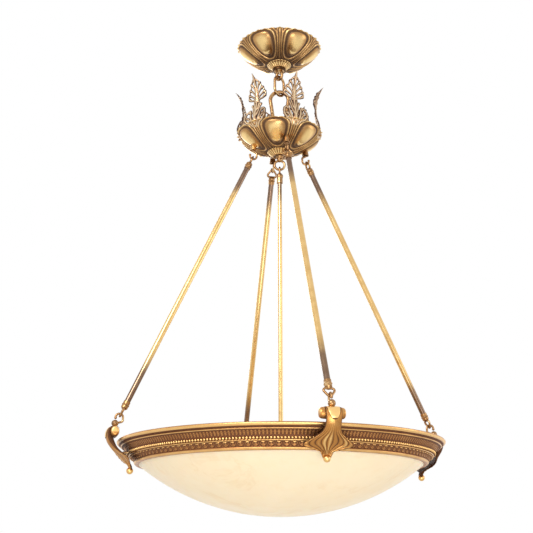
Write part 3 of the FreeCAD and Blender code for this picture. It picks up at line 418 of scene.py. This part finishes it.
def rosette_surface(top):
    """Outside from rim to cone tip, then the inside back up, as one closed sheet of points."""
    angle = np.linspace(0, 2 * math.pi, ROSETTE_COLUMNS, endpoint=False)[None, :]
    t = np.linspace(0, 1, ROSETTE_ROWS)[:, None]
    turn = t * math.pi / 2
    radius = ROOT + (RIM - ROOT) * np.cos(turn) ** BELLY
    depth = DEPTH * np.sin(turn) ** BELLY
    lift, dark = rosette_relief(angle, t)
    slope = turn * 0.92
    outer_r = radius + lift * np.cos(slope) - 1.5 * MM
    outer_z = top - depth - lift * np.sin(slope)
    step = np.linspace(0, 1, CONE_ROWS)[1:, None]
    flutes = 0.9 * MM * np.cos(angle * FLUTES) * np.sin(np.pi * np.clip(step, 0, 1)) ** 0.5
    collar = 1.6 * MM * ridge(step - 0.12, 0.1)
    cone_r = ROOT + (TIP - ROOT) * step ** 0.8 + flutes + collar
    cone_z = top - DEPTH - CONE * step + 0 * angle
    back = np.linspace(1, 0, INSIDE_ROWS)[:, None]
    turn_back = back * math.pi / 2
    inner_r = ROOT + (RIM - ROOT) * np.cos(turn_back) ** BELLY - SHELL + 0 * angle
    inner_z = top - (DEPTH - SHELL) * np.sin(turn_back) ** BELLY + 0 * angle
    hole_r = np.full((1, ROSETTE_COLUMNS), HOLE_R)
    hole_low, hole_high = top - DEPTH - CONE, top - DEPTH - CONE + SHELL
    rows_r = np.concatenate([outer_r, cone_r, hole_r, hole_r, inner_r])
    rows_z = np.concatenate([outer_z, cone_z, hole_r * 0 + hole_low, hole_r * 0 + hole_high, inner_z])
    points = np.stack([rows_r * np.cos(angle), rows_r * np.sin(angle), rows_z], axis=-1)
    recess = np.full(rows_r.shape, 0.72)
    recess[:ROSETTE_ROWS] = dark
    recess[ROSETTE_ROWS:ROSETTE_ROWS + CONE_ROWS - 1] = np.clip(0.42 - 0.3 * flutes / (0.9 * MM), 0, 1)
    faces = grid_faces(*rows_r.shape, close_rows=True, close_columns=True)
    return points.reshape(-1, 3), faces, recess


# %% Canopy and crown dish
CANOPY_TURN, CROWN_TURN = -104.0, -82.0
CROWN_Z = -0.234
canopy_points, canopy_faces, canopy_recess = rosette_surface(-0.5 * MM)
canopy = make_piece("canopy_casting", turned_about_z(canopy_points, CANOPY_TURN), canopy_faces, canopy_recess)
canopy.data.materials.append(CAST_BRASS)
dress(canopy, "canopy", "antique_brass", "canopy")

dish_points, dish_faces, dish_recess = rosette_surface(CROWN_Z)
dish = make_piece("crown_dish_casting", turned_about_z(dish_points, CROWN_TURN), dish_faces, dish_recess)
dish.data.materials.append(CAST_BRASS)
dress(dish, "crown", "antique_brass", "crown_dish")

# %% [markdown]
# ## The moulded ring
# The ring is spun and cast in rows, like a picture frame: a bead, a groove, a fillet, a cove with a frieze
# of small leaves, a string of pearls, a fillet, and an egg-and-dart frieze over a bright foot. The body is a
# profile turned about Z. Each frieze is its own thin band, so that only the bands need many columns.

# %% Ring sizes
RING_R, RING_FOOT_R = 355 * MM, 313 * MM
RING_TOP, RING_H = -0.9746, 46.2 * MM
FACE_LENGTH = math.hypot(RING_H, RING_R - RING_FOOT_R)
FACE_R = RING_H / FACE_LENGTH  # outward direction of the sloping face: out by FACE_R and down by FACE_Z
FACE_Z = (RING_R - RING_FOOT_R) / FACE_LENGTH
BODY_COLUMNS = 288


def on_face(share, out):
    """Radius and height of a point on the sloping face: share of the height from the top, out of it."""
    share = np.asarray(share, float)
    radius = RING_R - (RING_R - RING_FOOT_R) * share + out * FACE_R
    return radius, RING_TOP - RING_H * share - out * FACE_Z


def lathe(profile, columns, close=True):
    """A profile of (radius, height) pairs turned about Z; close joins the profile's end to its start."""
    radius, height = np.asarray(profile, float).T
    angle = np.linspace(0, 2 * math.pi, columns, endpoint=False)
    points = np.stack([radius[:, None] * np.cos(angle), radius[:, None] * np.sin(angle),
                       np.repeat(height[:, None], columns, axis=1)], axis=-1)
    return points.reshape(-1, 3), grid_faces(len(radius), columns, close_rows=close, close_columns=True)


# %% Ring body
# How dark each row is: patina and painted shade in the grooves, and a painted highlight on the beads.
ROWS = ((0.0, -2.0, 0.6), (0.004, 0.2, 0.4), (0.03, 1.3, 0.2), (0.065, 1.6, 0.12), (0.1, 1.1, 0.3),
        (0.125, -0.4, 0.75), (0.135, -2.4, 0.95), (0.165, -3.0, 1.0), (0.195, -2.2, 0.9), (0.2, -0.6, 0.6),
        (0.212, 0.1, 0.25), (0.235, 0.0, 0.3), (0.245, -1.2, 0.8), (0.26, -3.0, 1.0), (0.33, -4.8, 1.0),
        (0.41, -5.2, 1.0), (0.47, -4.4, 1.0), (0.49, -3.2, 0.9), (0.5, -2.6, 0.9), (0.61, -2.6, 0.95),
        (0.62, -0.8, 0.6), (0.628, 0.3, 0.3), (0.655, 0.3, 0.3), (0.665, -0.6, 0.7), (0.68, -2.2, 0.9),
        (0.78, -3.6, 1.0), (0.88, -2.6, 1.0), (0.895, -1.0, 0.8), (0.902, 0.6, 0.4), (0.93, 1.2, 0.25),
        (0.97, 1.1, 0.3), (0.995, 0.2, 0.5))  # share of the height, millimetres out, how dark
shares, outs, darks = np.array(ROWS).T
face_r, face_z = on_face(shares, outs * MM)
inside = np.array([(307.2, -1020.6), (307.2, -1017.8), (313.8, -1017.8), (313.8, -1005.8),
                   (334.4, -988.5), (345.0, -975.2), (347.5, -974.6)]) * MM
profile = np.concatenate([np.stack([face_r, face_z], axis=-1), inside])
ring_points, ring_faces = lathe(profile, BODY_COLUMNS)
ring_recess = np.repeat(np.concatenate([darks, np.full(len(inside), 0.6)]), BODY_COLUMNS)
ring = make_piece("ring_moulding", ring_points, ring_faces, ring_recess)
ring.data.materials.append(RING_BRASS)
dress(ring, "bowl", "antique_brass", "bowl_ring")


# %% A frieze band
def frieze(name, low, high, rows, repeats, columns_each, floor, relief, polish):
    """A band round the ring's face. relief(u, v) gives millimetres over the floor, u across one repeat
    from -0.5 to 0.5 and v down the band from 0 to 1. A plain back row closes the band behind. Polish is how
    much the crests are lightened, worn brass and a painted highlight; the hollows darken with patina and
    painted shade."""
    columns = repeats * columns_each
    u = (np.arange(columns) % columns_each + 0.5) / columns_each - 0.5
    v = np.linspace(0, 1, rows)
    height = relief(u[None, :], v[:, None])
    ground = np.interp(v, (0, 0.5, 1), floor)[:, None]
    radius, level = on_face((low + (high - low) * v)[:, None], (ground + height) * MM)
    back_r, back_z = on_face(np.array([[high], [low]]), -7.5 * MM)
    radius = np.concatenate([radius, np.repeat(back_r, columns, axis=1)])
    level = np.concatenate([level, np.repeat(back_z, columns, axis=1)])
    angle = np.arange(columns) * 2 * math.pi / columns
    points = np.stack([radius * np.cos(angle), radius * np.sin(angle), level], axis=-1)
    recess = np.full((rows + 2, columns), 1.0)
    # Crests are lightened, worn brass and a painted highlight; hollows are darkened, patina and painted
    # shade.
    rubbed_and_highlit = polish * np.clip(height / height.max(), 0, 1) ** 1.5
    recess[:rows] = np.clip(0.4 * hollows(height, 1.6, steps=(1, 2)) + 0.6 - rubbed_and_highlit, 0, 1)
    faces = grid_faces(*radius.shape, close_rows=True, close_columns=True)
    band = make_piece(name, points, faces, recess)
    band.data.materials.append(RING_BRASS)
    return dress(band, "bowl", "antique_brass")


# %% Leaves and eggs
def small_leaf(u, v):
    """Low leaf tips in the lower part of the cove, each with a midrib and nicks along its edges."""
    reach = np.clip((v - 0.25) / 0.66, 0, 1)
    half = 0.46 * np.sin(np.pi * np.clip(reach * 0.8 + 0.1, 0, 1)) ** 0.8
    leaf = np.clip(1 - (u / np.maximum(half, 0.02)) ** 2, 0, 1) ** 0.5 * (reach > 0)
    nicks = 0.35 * np.cos(v * 9 * math.pi + np.abs(u) * 9)
    return 1.2 * leaf * (0.75 + nicks) + 0.5 * ridge(u, 0.09) * (reach > 0)


def egg_and_dart(u, v):
    """A short bright bar over a round husk with a small leaf in it, and a dart between two husks."""
    bar = ridge((v - 0.12) / 0.075, 1) * np.clip((0.27 - np.abs(u)) / 0.05, 0, 1)
    ring = np.sqrt((u / 0.4) ** 2 + ((v - 0.2) / 0.62) ** 2)
    husk = ridge(ring - 0.98, 0.12) * (v > 0.16)
    leaf = np.clip(1 - (u / 0.2) ** 2 - ((v - 0.6) / 0.26) ** 2, 0, 1) ** 0.5
    dart = np.clip(1 - np.abs(np.abs(u) - 0.5) / 0.09, 0, 1) * np.clip((v - 0.35) / 0.2, 0, 1)
    nicks = 0.35 * np.cos(u * 12 * math.pi) * ridge((v - 0.82) / 0.14, 1)
    return 3.4 * bar + 1.3 * husk + 1.3 * leaf + 1.1 * dart + nicks


frieze("ring_leaf_frieze", 0.252, 0.492, 15, 288, 6, (-3.4, -4.8, -3.6), small_leaf, 0.3)
frieze("ring_egg_frieze", 0.672, 0.9, 19, 138, 10, (-1.4, -3.2, -2.0), egg_and_dart, 0.62)


# %% Pearls
def round_bead(rings, columns):
    """A small sphere of radius 1 as arrays: rings of points between two poles."""
    latitude = np.linspace(-np.pi / 2, np.pi / 2, rings)[:, None]
    longitude = np.linspace(0, 2 * np.pi, columns, endpoint=False)[None, :]
    points = np.stack([np.cos(latitude) * np.cos(longitude), np.cos(latitude) * np.sin(longitude),
                       np.sin(latitude) + 0 * longitude], axis=-1)
    return points.reshape(-1, 3), grid_faces(rings, columns, close_columns=True)


PEARLS, PEARL_R = 316, 2.75 * MM
bead_points, bead_faces = round_bead(6, 8)
pearl_r, pearl_z = on_face(0.557, -0.9 * MM)
angles = np.arange(PEARLS) * 2 * math.pi / PEARLS
centres = np.column_stack([pearl_r * np.cos(angles), pearl_r * np.sin(angles), np.full(PEARLS, pearl_z)])
pearl_points = (centres[:, None, :] + bead_points[None, :, :] * PEARL_R).reshape(-1, 3)
pearl_faces = (bead_faces[None, :, :] + (np.arange(PEARLS) * len(bead_points))[:, None, None]).reshape(-1, 4)
bead_centres = np.repeat(centres[:, :2], len(bead_points), axis=0)
# Each pearl is lighter where it stands out and darker on its back towards the ring: patina with painted shade
# in the gap.
proud = ((pearl_points[:, :2] - bead_centres) * bead_centres).sum(1) / (pearl_r * PEARL_R)
pearls = make_piece("ring_pearls", pearl_points, pearl_faces, np.clip(0.55 - 0.6 * proud, 0, 1))
pearls.data.materials.append(RING_BRASS)
dress(pearls, "bowl", "antique_brass")

# %% [markdown]
# ## The alabaster bowl
# A shallow cap of a sphere, turned from one block. Just over the ring's foot its rim steps out into a flange
# that rests on the ring's ledge. The inside is a smaller sphere about the same centre, so the wall is even.

# %% Bowl
SPHERE, BOWL_FOOT, WALL = 0.49695, -1.1265, 8 * MM
MOUTH_R, FLANGE_R, RIM_INSIDE = 306.4 * MM, 313 * MM, 305 * MM
STEP_Z, SHOULDER_Z, CREST_Z = -1.0175, -1.0095, -1.0055
centre_z = BOWL_FOOT + SPHERE
swing = np.linspace(0, math.asin(MOUTH_R / SPHERE), 46)
outer = np.stack([SPHERE * np.sin(swing), centre_z - SPHERE * np.cos(swing)], axis=-1)
round_r = (FLANGE_R - RIM_INSIDE) / 2
lip_turn = np.linspace(0, math.pi, 9)
lip = np.stack([RIM_INSIDE + round_r + round_r * np.cos(lip_turn),
                SHOULDER_Z + (CREST_Z - SHOULDER_Z) * np.sin(lip_turn)], axis=-1)
rim = np.concatenate([[(MOUTH_R, STEP_Z), (FLANGE_R, STEP_Z)], lip])
swing_in = np.linspace(math.asin((RIM_INSIDE - 6 * MM) / (SPHERE - WALL)), 0, 40)
inner = np.stack([(SPHERE - WALL) * np.sin(swing_in), centre_z - (SPHERE - WALL) * np.cos(swing_in)], axis=-1)
bowl_points, bowl_faces = lathe(np.concatenate([outer, rim, inner]), 192, close=False)
bowl = make_piece("alabaster_cap", bowl_points, bowl_faces)
bowl.data.materials.append(ALABASTER)
dress(bowl, "bowl", "alabaster", "alabaster_bowl")

# %% [markdown]
# ## The openwork leaves
# Each leaf is cast like a palmette: round bars fan out from a neck, end in small balls, and touch each
# other so that slits stay open between them. A bar's section is a half circle, so at a distance d from
# its middle line its height is sqrt(r^2 - d^2). The leaf is the highest of all its bars, worked out on a
# flat grid, cut along the line where the height ends, and then bent along the leaf's spine.

# %% Bars of a leaf
# each bar: (side and height in millimetres, radius) at each of its points; mirrored unless on the middle
MIDDLE_BARS = (
    ((0, -12, 7.0), (0, 6, 6.6), (0, 30, 5.0), (0, 52, 3.9)),
    ((0, 50, 3.8), (0, 70, 3.0), (0, 92, 2.8), (0, 103, 4.4), (0, 110, 3.4), (0, 118.4, 0.9)),
    ((-6, 53, 3.0), (6, 53, 3.0)),
)
SIDE_BARS = (
    ((0, 55, 2.8), (9, 58, 2.5), (17, 60, 2.6), (22.5, 64.5, 4.2)),
    ((0, 57, 2.8), (8, 65, 2.3), (16, 71, 2.5), (22.4, 74.5, 4.1)),
    ((0, 60, 2.8), (6, 74, 2.2), (12.4, 82, 2.5), (17.8, 85.5, 4.0)),
    ((0, 66, 2.6), (4, 84, 2.2), (7.6, 93, 2.5), (11.8, 97, 3.9)),
    ((24.6, 66, 2.2), (25.0, 70, 2.0), (23, 74, 2.0)),
    ((21, 78, 2.0), (20.4, 82, 2.0)),
    ((15, 89, 2.0), (13, 94, 2.0)),
    ((9, 101, 2.2), (4, 106, 2.2)),
    ((2, 12, 3.6), (7.4, 26, 3.4), (9.6, 38, 2.6), (12.4, 44.5, 3.5)),
    ((1, 26, 3.0), (5.2, 38, 2.8), (7.4, 50, 2.4)),
    ((4, -12, 5.2), (9, 2, 4.8), (13.0, 14, 3.8), (14.2, 25, 2.8), (16.8, 31.5, 3.4)),
    ((8, -11, 4.6), (14, -4, 4.0), (22, -1.5, 3.4), (27.6, 6, 3.2), (29.4, 16, 2.9), (26.4, 26, 2.8),
     (20.6, 31.4, 2.8), (18.6, 26.4, 3.4)),
    ((13, 0, 3.2), (17.4, 9, 2.8), (22.8, 12, 3.9)),
    ((24, 4, 2.4), (30.4, 8.2, 2.6)),
)
LEAF_SPINE = ((-14, 87.2), (-7, 93.4), (0, 97.0), (18, 94.4), (50, 90.0), (84, 92.4), (104, 99.0),
              (119, 109.6))
GRID = 0.62


def bar_height(side, height, bars):
    """Highest of sqrt(r^2 - d^2) over all the bars, the distance outside the nearest of them, and how near
    the point is to a bar's ridge, 1 - d / r."""
    best, ridges = np.zeros_like(side), np.zeros_like(side)
    outside = np.full_like(side, 1e3)
    for bar in bars:
        for (y0, z0, r0), (y1, z1, r1) in zip(bar[:-1], bar[1:]):
            run = (y1 - y0) ** 2 + (z1 - z0) ** 2
            along = np.clip(((side - y0) * (y1 - y0) + (height - z0) * (z1 - z0)) / run, 0, 1)
            distance = np.hypot(side - y0 - along * (y1 - y0), height - z0 - along * (z1 - z0))
            radius = r0 + (r1 - r0) * along
            best = np.maximum(best, np.sqrt(np.clip(radius**2 - distance**2, 0, None)))
            ridges = np.maximum(ridges, 1 - distance / radius)
            outside = np.minimum(outside, distance - radius)
    return best, outside, ridges


def flat_casting(bars, across, up, grid):
    """A flat casting from its bars: corners (y, z), heights in front, nearness to a ridge, and quads.

    Corners near the outline, where the distance is under three quarters of a step, are moved onto it."""
    side, height = np.meshgrid(np.arange(*across, grid), np.arange(*up, grid), indexing="ij")
    front, outside, ridges = bar_height(side, height, bars)
    slope_y, slope_z = np.gradient(outside, grid)
    steep = np.maximum(np.hypot(slope_y, slope_z), 0.5)
    near = np.abs(outside) < 0.75 * grid
    side = np.where(near, side - outside * slope_y / steep**2, side)
    height = np.where(near, height - outside * slope_z / steep**2, height)
    front = np.where(near, 0, front)
    kept = outside < 0.75 * grid
    faces = grid_faces(*side.shape)
    faces = faces[kept.ravel()[faces].all(axis=1)]
    used, renumbered = np.unique(faces, return_inverse=True)
    flat = np.stack([side.ravel()[used], height.ravel()[used]], axis=-1)
    return flat, front.ravel()[used], ridges.ravel()[used], renumbered.reshape(-1, 4)


# %% Six leaves
mirrored = [tuple((-y, z, r) for y, z, r in bar) for bar in SIDE_BARS]
all_bars = MIDDLE_BARS + SIDE_BARS + tuple(mirrored)
leaf_flat, leaf_front, leaf_ridges, leaf_quads = flat_casting(all_bars, (-33.0, 33.2), (-14.0, 120.0), GRID)
spine_z, spine_r = np.array(LEAF_SPINE, float).T
spine_curve = np.polyfit(spine_z, spine_r, 5)
leaf_y, leaf_z = leaf_flat.T
cup = 0.0075 * leaf_y**2 * np.clip((leaf_z - 30) / 60, -0.5, 1)
middle_r = np.polyval(spine_curve, leaf_z) - 1.8 - cup
sheets = []
for way, share in ((1, 0.8), (-1, 0.55)):
    out_r = middle_r + way * leaf_front * share
    sheets.append(np.stack([out_r, leaf_y, leaf_z + CROWN_Z / MM], axis=-1) * MM)
leaf_points = np.concatenate(sheets)
leaf_faces = np.concatenate([leaf_quads, leaf_quads[:, ::-1] + len(leaf_flat)])
# Each bar is light along its ridge and dark down its sides, patina with a painted highlight and painted shade
# round the round bar. Below the leaf's middle the veins stripe it with painted light ribs and shaded grooves.
veins = 0.18 * np.cos(np.abs(leaf_y) * 3.4 - leaf_z * 0.5) * (leaf_z < 55)
leaf_recess = np.tile(np.clip(0.92 - 0.85 * leaf_ridges**1.2 + veins, 0, 1), 2)
for number in range(6):
    turn = CROWN_TURN + 60 * number
    leaf = make_piece(f"crown_leaf_casting_{number + 1}", turned_about_z(leaf_points, turn), leaf_faces,
                      leaf_recess)
    leaf.data.materials.append(LEAF_BRASS)
    dress(leaf, "crown", "antique_brass", f"crown_leaf_{number + 1}")

# %% [markdown]
# ## The scroll brackets
# A bracket is one casting: it rolls over a scroll at the top, runs down the outside as a thick neck, flares
# into a leaf whose folds fan out over the ring, and ends in a knob under it. Its front is a grid: v goes
# down the casting's middle line and u across it. Folds are |cos|, so their crests are round and their
# valleys sharp, and they follow lines of equal u, which is what makes them fan.

# %% Strap
STRAP_LINE = np.array([  # in millimetres, but for the folds' share
    # radius, height, half width, how far the sides lie back, fold height, thickness, droop of the sides
    (354.4, -951.6, 12.6, 0.4, 0.0, 1.0, 0.0), (358.6, -948.4, 14.4, 0.6, 0.0, 1.6, 0.0),
    (364.6, -946.9, 15.4, 1.0, 0.0, 2.2, 0.0), (372.0, -948.6, 15.8, 1.6, 0.0, 4.0, 0.0),
    (377.6, -953.6, 15.9, 2.4, 0.0, 8.0, 0.0), (380.4, -961.0, 15.6, 3.2, 0.0, 12.0, 0.0),
    (380.2, -970.0, 15.2, 4.0, 0.0, 14.0, 0.0), (377.0, -979.2, 15.0, 4.8, 0.1, 14.0, 0.0),
    (371.6, -987.0, 16.4, 5.4, 0.4, 12.0, 0.5), (366.0, -993.2, 21.0, 6.4, 0.9, 9.0, 2.0),
    (359.6, -998.8, 33.0, 8.2, 1.4, 6.5, 4.5), (354.2, -1003.4, 44.0, 10.0, 1.7, 5.0, 5.5),
    (349.8, -1007.5, 49.0, 11.0, 1.8, 4.6, 5.5), (345.6, -1011.5, 47.0, 10.6, 1.8, 4.4, 5.5),
    (342.0, -1015.0, 38.0, 9.2, 1.8, 4.4, 4.5), (338.6, -1018.5, 28.0, 7.6, 1.7, 4.4, 3.0),
    (335.8, -1021.8, 22.0, 6.2, 1.6, 4.6, 1.5),
    (333.0, -1025.0, 13.4, 4.4, 1.4, 5.0, 0.5), (330.6, -1029.0, 11.4, 3.2, 1.2, 6.0, 0.0),
    (328.8, -1033.0, 9.6, 2.4, 0.8, 6.0, 0.0), (326.6, -1037.4, 7.0, 1.4, 0.3, 5.0, 0.0)])
STRAP_ROWS, STRAP_COLUMNS = 150, 121
HALF_FOLDS = 4.5  # folds on each side of the middle line
# The back that faces the ring is darkened: painted shade.
SHADED_BACK = 0.85  # recess of a back that faces the ring


def along_line(table, rows):
    """The table's columns at even steps, by a cubic Hermite curve whose slopes are central differences."""
    count = len(table)
    slope = np.gradient(table, axis=0)
    place = np.linspace(0, count - 1, rows)
    left = np.minimum(place.astype(int), count - 2)
    s = (place - left)[:, None]
    start, end = table[left], table[left + 1]
    first, last = slope[left], slope[left + 1]
    return ((2 * s**3 - 3 * s**2 + 1) * start + (s**3 - 2 * s**2 + s) * first
            + (3 * s**2 - 2 * s**3) * end + (s**3 - s**2) * last)


def closed_sheet(front, back, recess):
    """Front and back grids joined at both sides and closed to a point at each end."""
    points = np.concatenate([front, back[:, ::-1]], axis=1)
    columns = points.shape[1]
    first, last = (np.broadcast_to(points[end].mean(axis=0), (1, columns, 3)) for end in (0, -1))
    # The backs take the painted shade.
    recess = np.concatenate([recess, np.full(back.shape[:2], SHADED_BACK)], axis=1)
    recess = np.concatenate([recess[:1], recess, recess[-1:]])
    faces = grid_faces(len(points) + 2, columns, close_columns=True)
    return np.concatenate([first, points, last]).reshape(-1, 3) * MM, faces, recess


def outward(line):
    """Unit vectors (radius, height) that stand square to a line that runs over the top and down."""
    direction = np.gradient(line[:, :2], axis=0)
    direction /= np.linalg.norm(direction, axis=1, keepdims=True)
    return -direction[:, 1:2], direction[:, 0:1]


def strap_surface():
    """Front and back of the neck and leaf as one closed sheet, with its recess."""
    line = along_line(STRAP_LINE, STRAP_ROWS)
    radius, level, half, back, fold, thick, droop = (column[:, None] for column in line.T)
    out_r, out_z = outward(line)
    u = np.linspace(-1, 1, STRAP_COLUMNS)[None, :]
    crest = np.abs(np.cos(u * HALF_FOLDS * math.pi)) ** 0.8
    uneven = 0.8 + 0.2 * np.cos(u * 7 + 1)
    curls = np.clip((np.abs(u) - 0.78) / 0.15, 0, 1) * np.cos(level * 1.3 + u * 24)
    lift = fold * (1.3 * crest * uneven - 0.9 + 0.6 * curls * (fold > 1.0))
    across = half * u
    lay = back * np.abs(u) ** 1.8
    drop = droop * np.abs(u) ** 1.5
    edge = np.sqrt(np.clip(1 - np.abs(u) ** 6, 0, 1))
    front_r, front_z = radius - lay + out_r * lift * edge, level - drop + out_z * lift * edge
    front = np.stack([front_r, across, front_z], axis=-1)
    body = thick * np.sqrt(np.clip(1 - np.abs(u) ** 3, 0, 1))
    behind = np.stack([radius - lay - out_r * body, across, level - drop - out_z * body], axis=-1)
    share = np.clip(fold / 1.4, 0, 1)
    # Fold crests are lightened and valleys darkened, patina with a painted highlight and painted shade. The
    # sides are darkened as painted shade.
    recess = 0.42 + share * (0.44 - 0.62 * crest * uneven) + 0.4 * np.abs(u) ** 5 * (1 - 0.6 * share)
    return closed_sheet(front, behind, np.clip(recess + 0 * across, 0, 1))


# %% Scroll, bib and knob
SCROLL_X, SCROLL_Z, SCROLL_HALF = 363.0, -958.4, 25.5
SCROLL_DEEP, SCROLL_TALL, SCROLL_COLUMNS = 9.6, 11.3, 48
KNOB_R, KNOB_PLACE = 7.2, (327.0, 0.0, -1037.6)


def scroll_surface():
    """A roll along Y with full ends: sin^0.36 along it and cos^0.36 for its size give a rounded drum."""
    swing = np.linspace(-math.pi / 2, math.pi / 2, 41)
    y = SCROLL_HALF * np.sign(swing) * np.abs(np.sin(swing)) ** 0.36
    size = np.cos(swing) ** 0.36
    size[[0, -1]] = 0
    angle = np.linspace(0, 2 * math.pi, SCROLL_COLUMNS, endpoint=False)[None, :]
    points = np.stack([SCROLL_X + SCROLL_DEEP * size[:, None] * np.cos(angle), y[:, None] + 0 * angle,
                       SCROLL_Z + SCROLL_TALL * size[:, None] * np.sin(angle)], axis=-1) * MM
    # The lower half of the roll is darkened, painted shade under it; its ends are lighter.
    recess = 0.42 - 0.2 * (np.abs(y) > 24)[:, None] + 0.3 * np.clip(-np.sin(angle), 0, 1)
    return points.reshape(-1, 3), grid_faces(len(y), SCROLL_COLUMNS, close_columns=True), recess


def bib_surface():
    """A thin tongue that hangs from the roll over the front of the neck, with a round lower edge."""
    rows, columns = 44, 41
    v = np.linspace(0, 1, rows)[:, None]
    u = np.linspace(-1, 1, columns)[None, :]
    line = along_line(STRAP_LINE[:8, :2], 400)
    place = (20 + 340 * v[:, 0]).astype(int)
    out_r, out_z = outward(line)
    half = 14.0 * np.sqrt(np.clip(1 - np.clip((v - 0.3) / 0.7, 0, 1) ** 2.4, 0, 1))
    lay = np.interp(place, (0, 170, 340), (0.5, 1.6, 3.6))[:, None] * np.abs(half * u / 15.5) ** 1.8
    lift = 0.2 + 0.9 * np.clip(1 - np.abs(u) ** 4, 0, 1) ** 0.5 * np.clip((1 - v) / 0.1, 0, 1) ** 0.5
    x, z = line[place, 0:1] - lay, line[place, 1:2]
    front = np.stack([x + out_r[place] * lift, half * u, z + out_z[place] * lift], axis=-1)
    behind = np.stack([x - 1.5 + 0 * lift, half * u, z + 0 * lift], axis=-1)
    # The bib is light, with a dark line along its sides and lower edge: painted shadow round its border.
    recess = np.clip(0.12 + 0.8 * (np.abs(u) > 0.9) + 0.8 * (v > 0.95), 0, 1)
    return closed_sheet(front, behind, recess)


def knob_surface():
    """A ball at the foot of the casting."""
    points, faces = round_bead(18, 32)
    # The upper half of the knob is darkened: painted shade under the leaf above.
    recess = 0.25 + 0.4 * np.clip(points[:, 2], 0, 1)
    return (points * KNOB_R + np.array(KNOB_PLACE)) * MM, faces, recess


bracket_parts = [strap_surface(), scroll_surface(), bib_surface(), knob_surface()]
BRACKET_BRASS = brass("bracket brass", colour(246, 204, 134), colour(186, 130, 70), colour(88, 54, 30),
                      polish=0.34)
for side_name, turn in SIDES.items():
    points, faces, recess = joined(bracket_parts)
    bracket = make_piece(f"bracket_casting_{side_name}", turned_about_z(points, turn), faces, recess)
    bracket.data.materials.append(BRACKET_BRASS)
    dress(bracket, "bowl", "antique_brass", f"bracket_{side_name}")

# %% [markdown]
# ## The pieces kept from the CAD model
# Hooks, eyes, loops, tubes, nuts and screws have their real shape in the CAD model already, so they stay,
# and each group of them takes its own procedural finish.

# %% Plain metals
GRAIN = 180.0  # noise scale of a plain metal


def plain_metal(name, low, high, roughness, metallic=1.0):
    """A metal whose tone and roughness wander a little between two colours."""
    material = bpy.data.materials.new(name)
    material.use_nodes = True
    w = Wiring(material.node_tree)
    shader = material.node_tree.nodes["Principled BSDF"]
    grain = w.noise(w.node("ShaderNodeTexCoord").outputs["Object"], GRAIN, 4.0)
    w.tree.links.new(w.blend(w.remap(grain, 0.35, 0.65), low, high), shader.inputs["Base Color"])
    w.tree.links.new(w.remap(grain, 0.3, 0.7, roughness, roughness + 0.1), shader.inputs["Roughness"])
    shader.inputs["Metallic"].default_value = metallic
    return material


ZINC = plain_metal("zinc steel", colour(172, 176, 178), colour(198, 200, 200), 0.32)
GREEN = plain_metal("green screw", colour(52, 120, 70), colour(70, 140, 84), 0.38)
SHELL = plain_metal("holder shell", colour(150, 112, 60), colour(188, 146, 84), 0.34)
GLASS = plain_metal("lamp glass", colour(250, 240, 214), colour(255, 246, 226), 0.24, metallic=0.0)

FINISHES = {
    "rod_tube_": ROD_BRASS, "stem_tube": STEM_BRASS, "canopy_collar": DARK_BRASS, "crossbar": ZINC,
    "nipple_locknut": ZINC, "ground_screw": GREEN, "lamp_holder_": SHELL, "lamps": GLASS,
}
for name, node in nodes.items():
    finish = WIRE_BRASS
    for start, material in FINISHES.items():
        if name.startswith(start):
            finish = material
    node.data.materials.clear()
    node.data.materials.append(finish)
print(sum(not node.hide_render for node in nodes.values()), "CAD nodes are shown")

# %% [markdown]
# ## Floor and light
# The photograph has no floor: the lamp hangs before plain white. The world is white to the camera and in
# reflections and softer for the light it throws, and four large lamps give the castings their shine.


# %% World
world = bpy.data.worlds.new("white")
bpy.context.scene.world = world
world.use_nodes = True
w = Wiring(world.node_tree)
rays = w.node("ShaderNodeLightPath").outputs
seen = w.math("MAXIMUM", rays["Is Camera Ray"], w.math("MAXIMUM", rays["Is Glossy Ray"],
                                                       rays["Is Transmission Ray"]))
DIFFUSE_SHARE = 0.72
world.node_tree.links.new(w.remap(seen, 0.0, 1.0, DIFFUSE_SHARE, 1.0),
                          world.node_tree.nodes["Background"].inputs["Strength"])
world.node_tree.nodes["Background"].inputs["Color"].default_value = (1, 1, 1, 1)


# %% Floor
FLOOR_HALF, FLOOR_Z = 3.0, -2.3
corners = np.array([(-1, -1), (1, -1), (1, 1), (-1, 1)]) * FLOOR_HALF
corners = np.column_stack([corners, np.full(4, FLOOR_Z)])
floor = make_piece("floor", corners, np.array([[0, 1, 2, 3]]), weld=False)
floor_paint = bpy.data.materials.new("floor")
floor_paint.use_nodes = True
floor_paint.node_tree.nodes["Principled BSDF"].inputs["Base Color"].default_value = colour(226, 224, 220)
floor_paint.node_tree.nodes["Principled BSDF"].inputs["Roughness"].default_value = 0.8
floor.data.materials.append(floor_paint)


# %% Lamps
AIM = (0.0, 0.0, -0.7)
LIGHTS = {  # name: place, side of the square, watts
    "key": ((-1.8, -2.2, 0.5), 1.2, 56.0),
    "low front": ((-0.2, -2.4, -1.9), 1.4, 27.0),
    "fill": ((2.4, -0.8, -0.4), 1.2, 9.0),
    "back": ((0.2, 2.4, 0.3), 1.4, 22.0),
}
for name, (place, side, watts) in LIGHTS.items():
    data = bpy.data.lights.new(name, "AREA")
    data.shape = "SQUARE"
    data.size = side
    data.energy = watts
    light = bpy.data.objects.new(name, data)
    light.location = place
    away = np.subtract(place, AIM)
    lean = math.acos(away[2] / np.linalg.norm(away))
    light.rotation_euler = (lean, 0, math.atan2(away[1], away[0]) + math.pi / 2)
    light.visible_camera = False
    bpy.context.scene.collection.objects.link(light)
print(len(LIGHTS), "lamps")
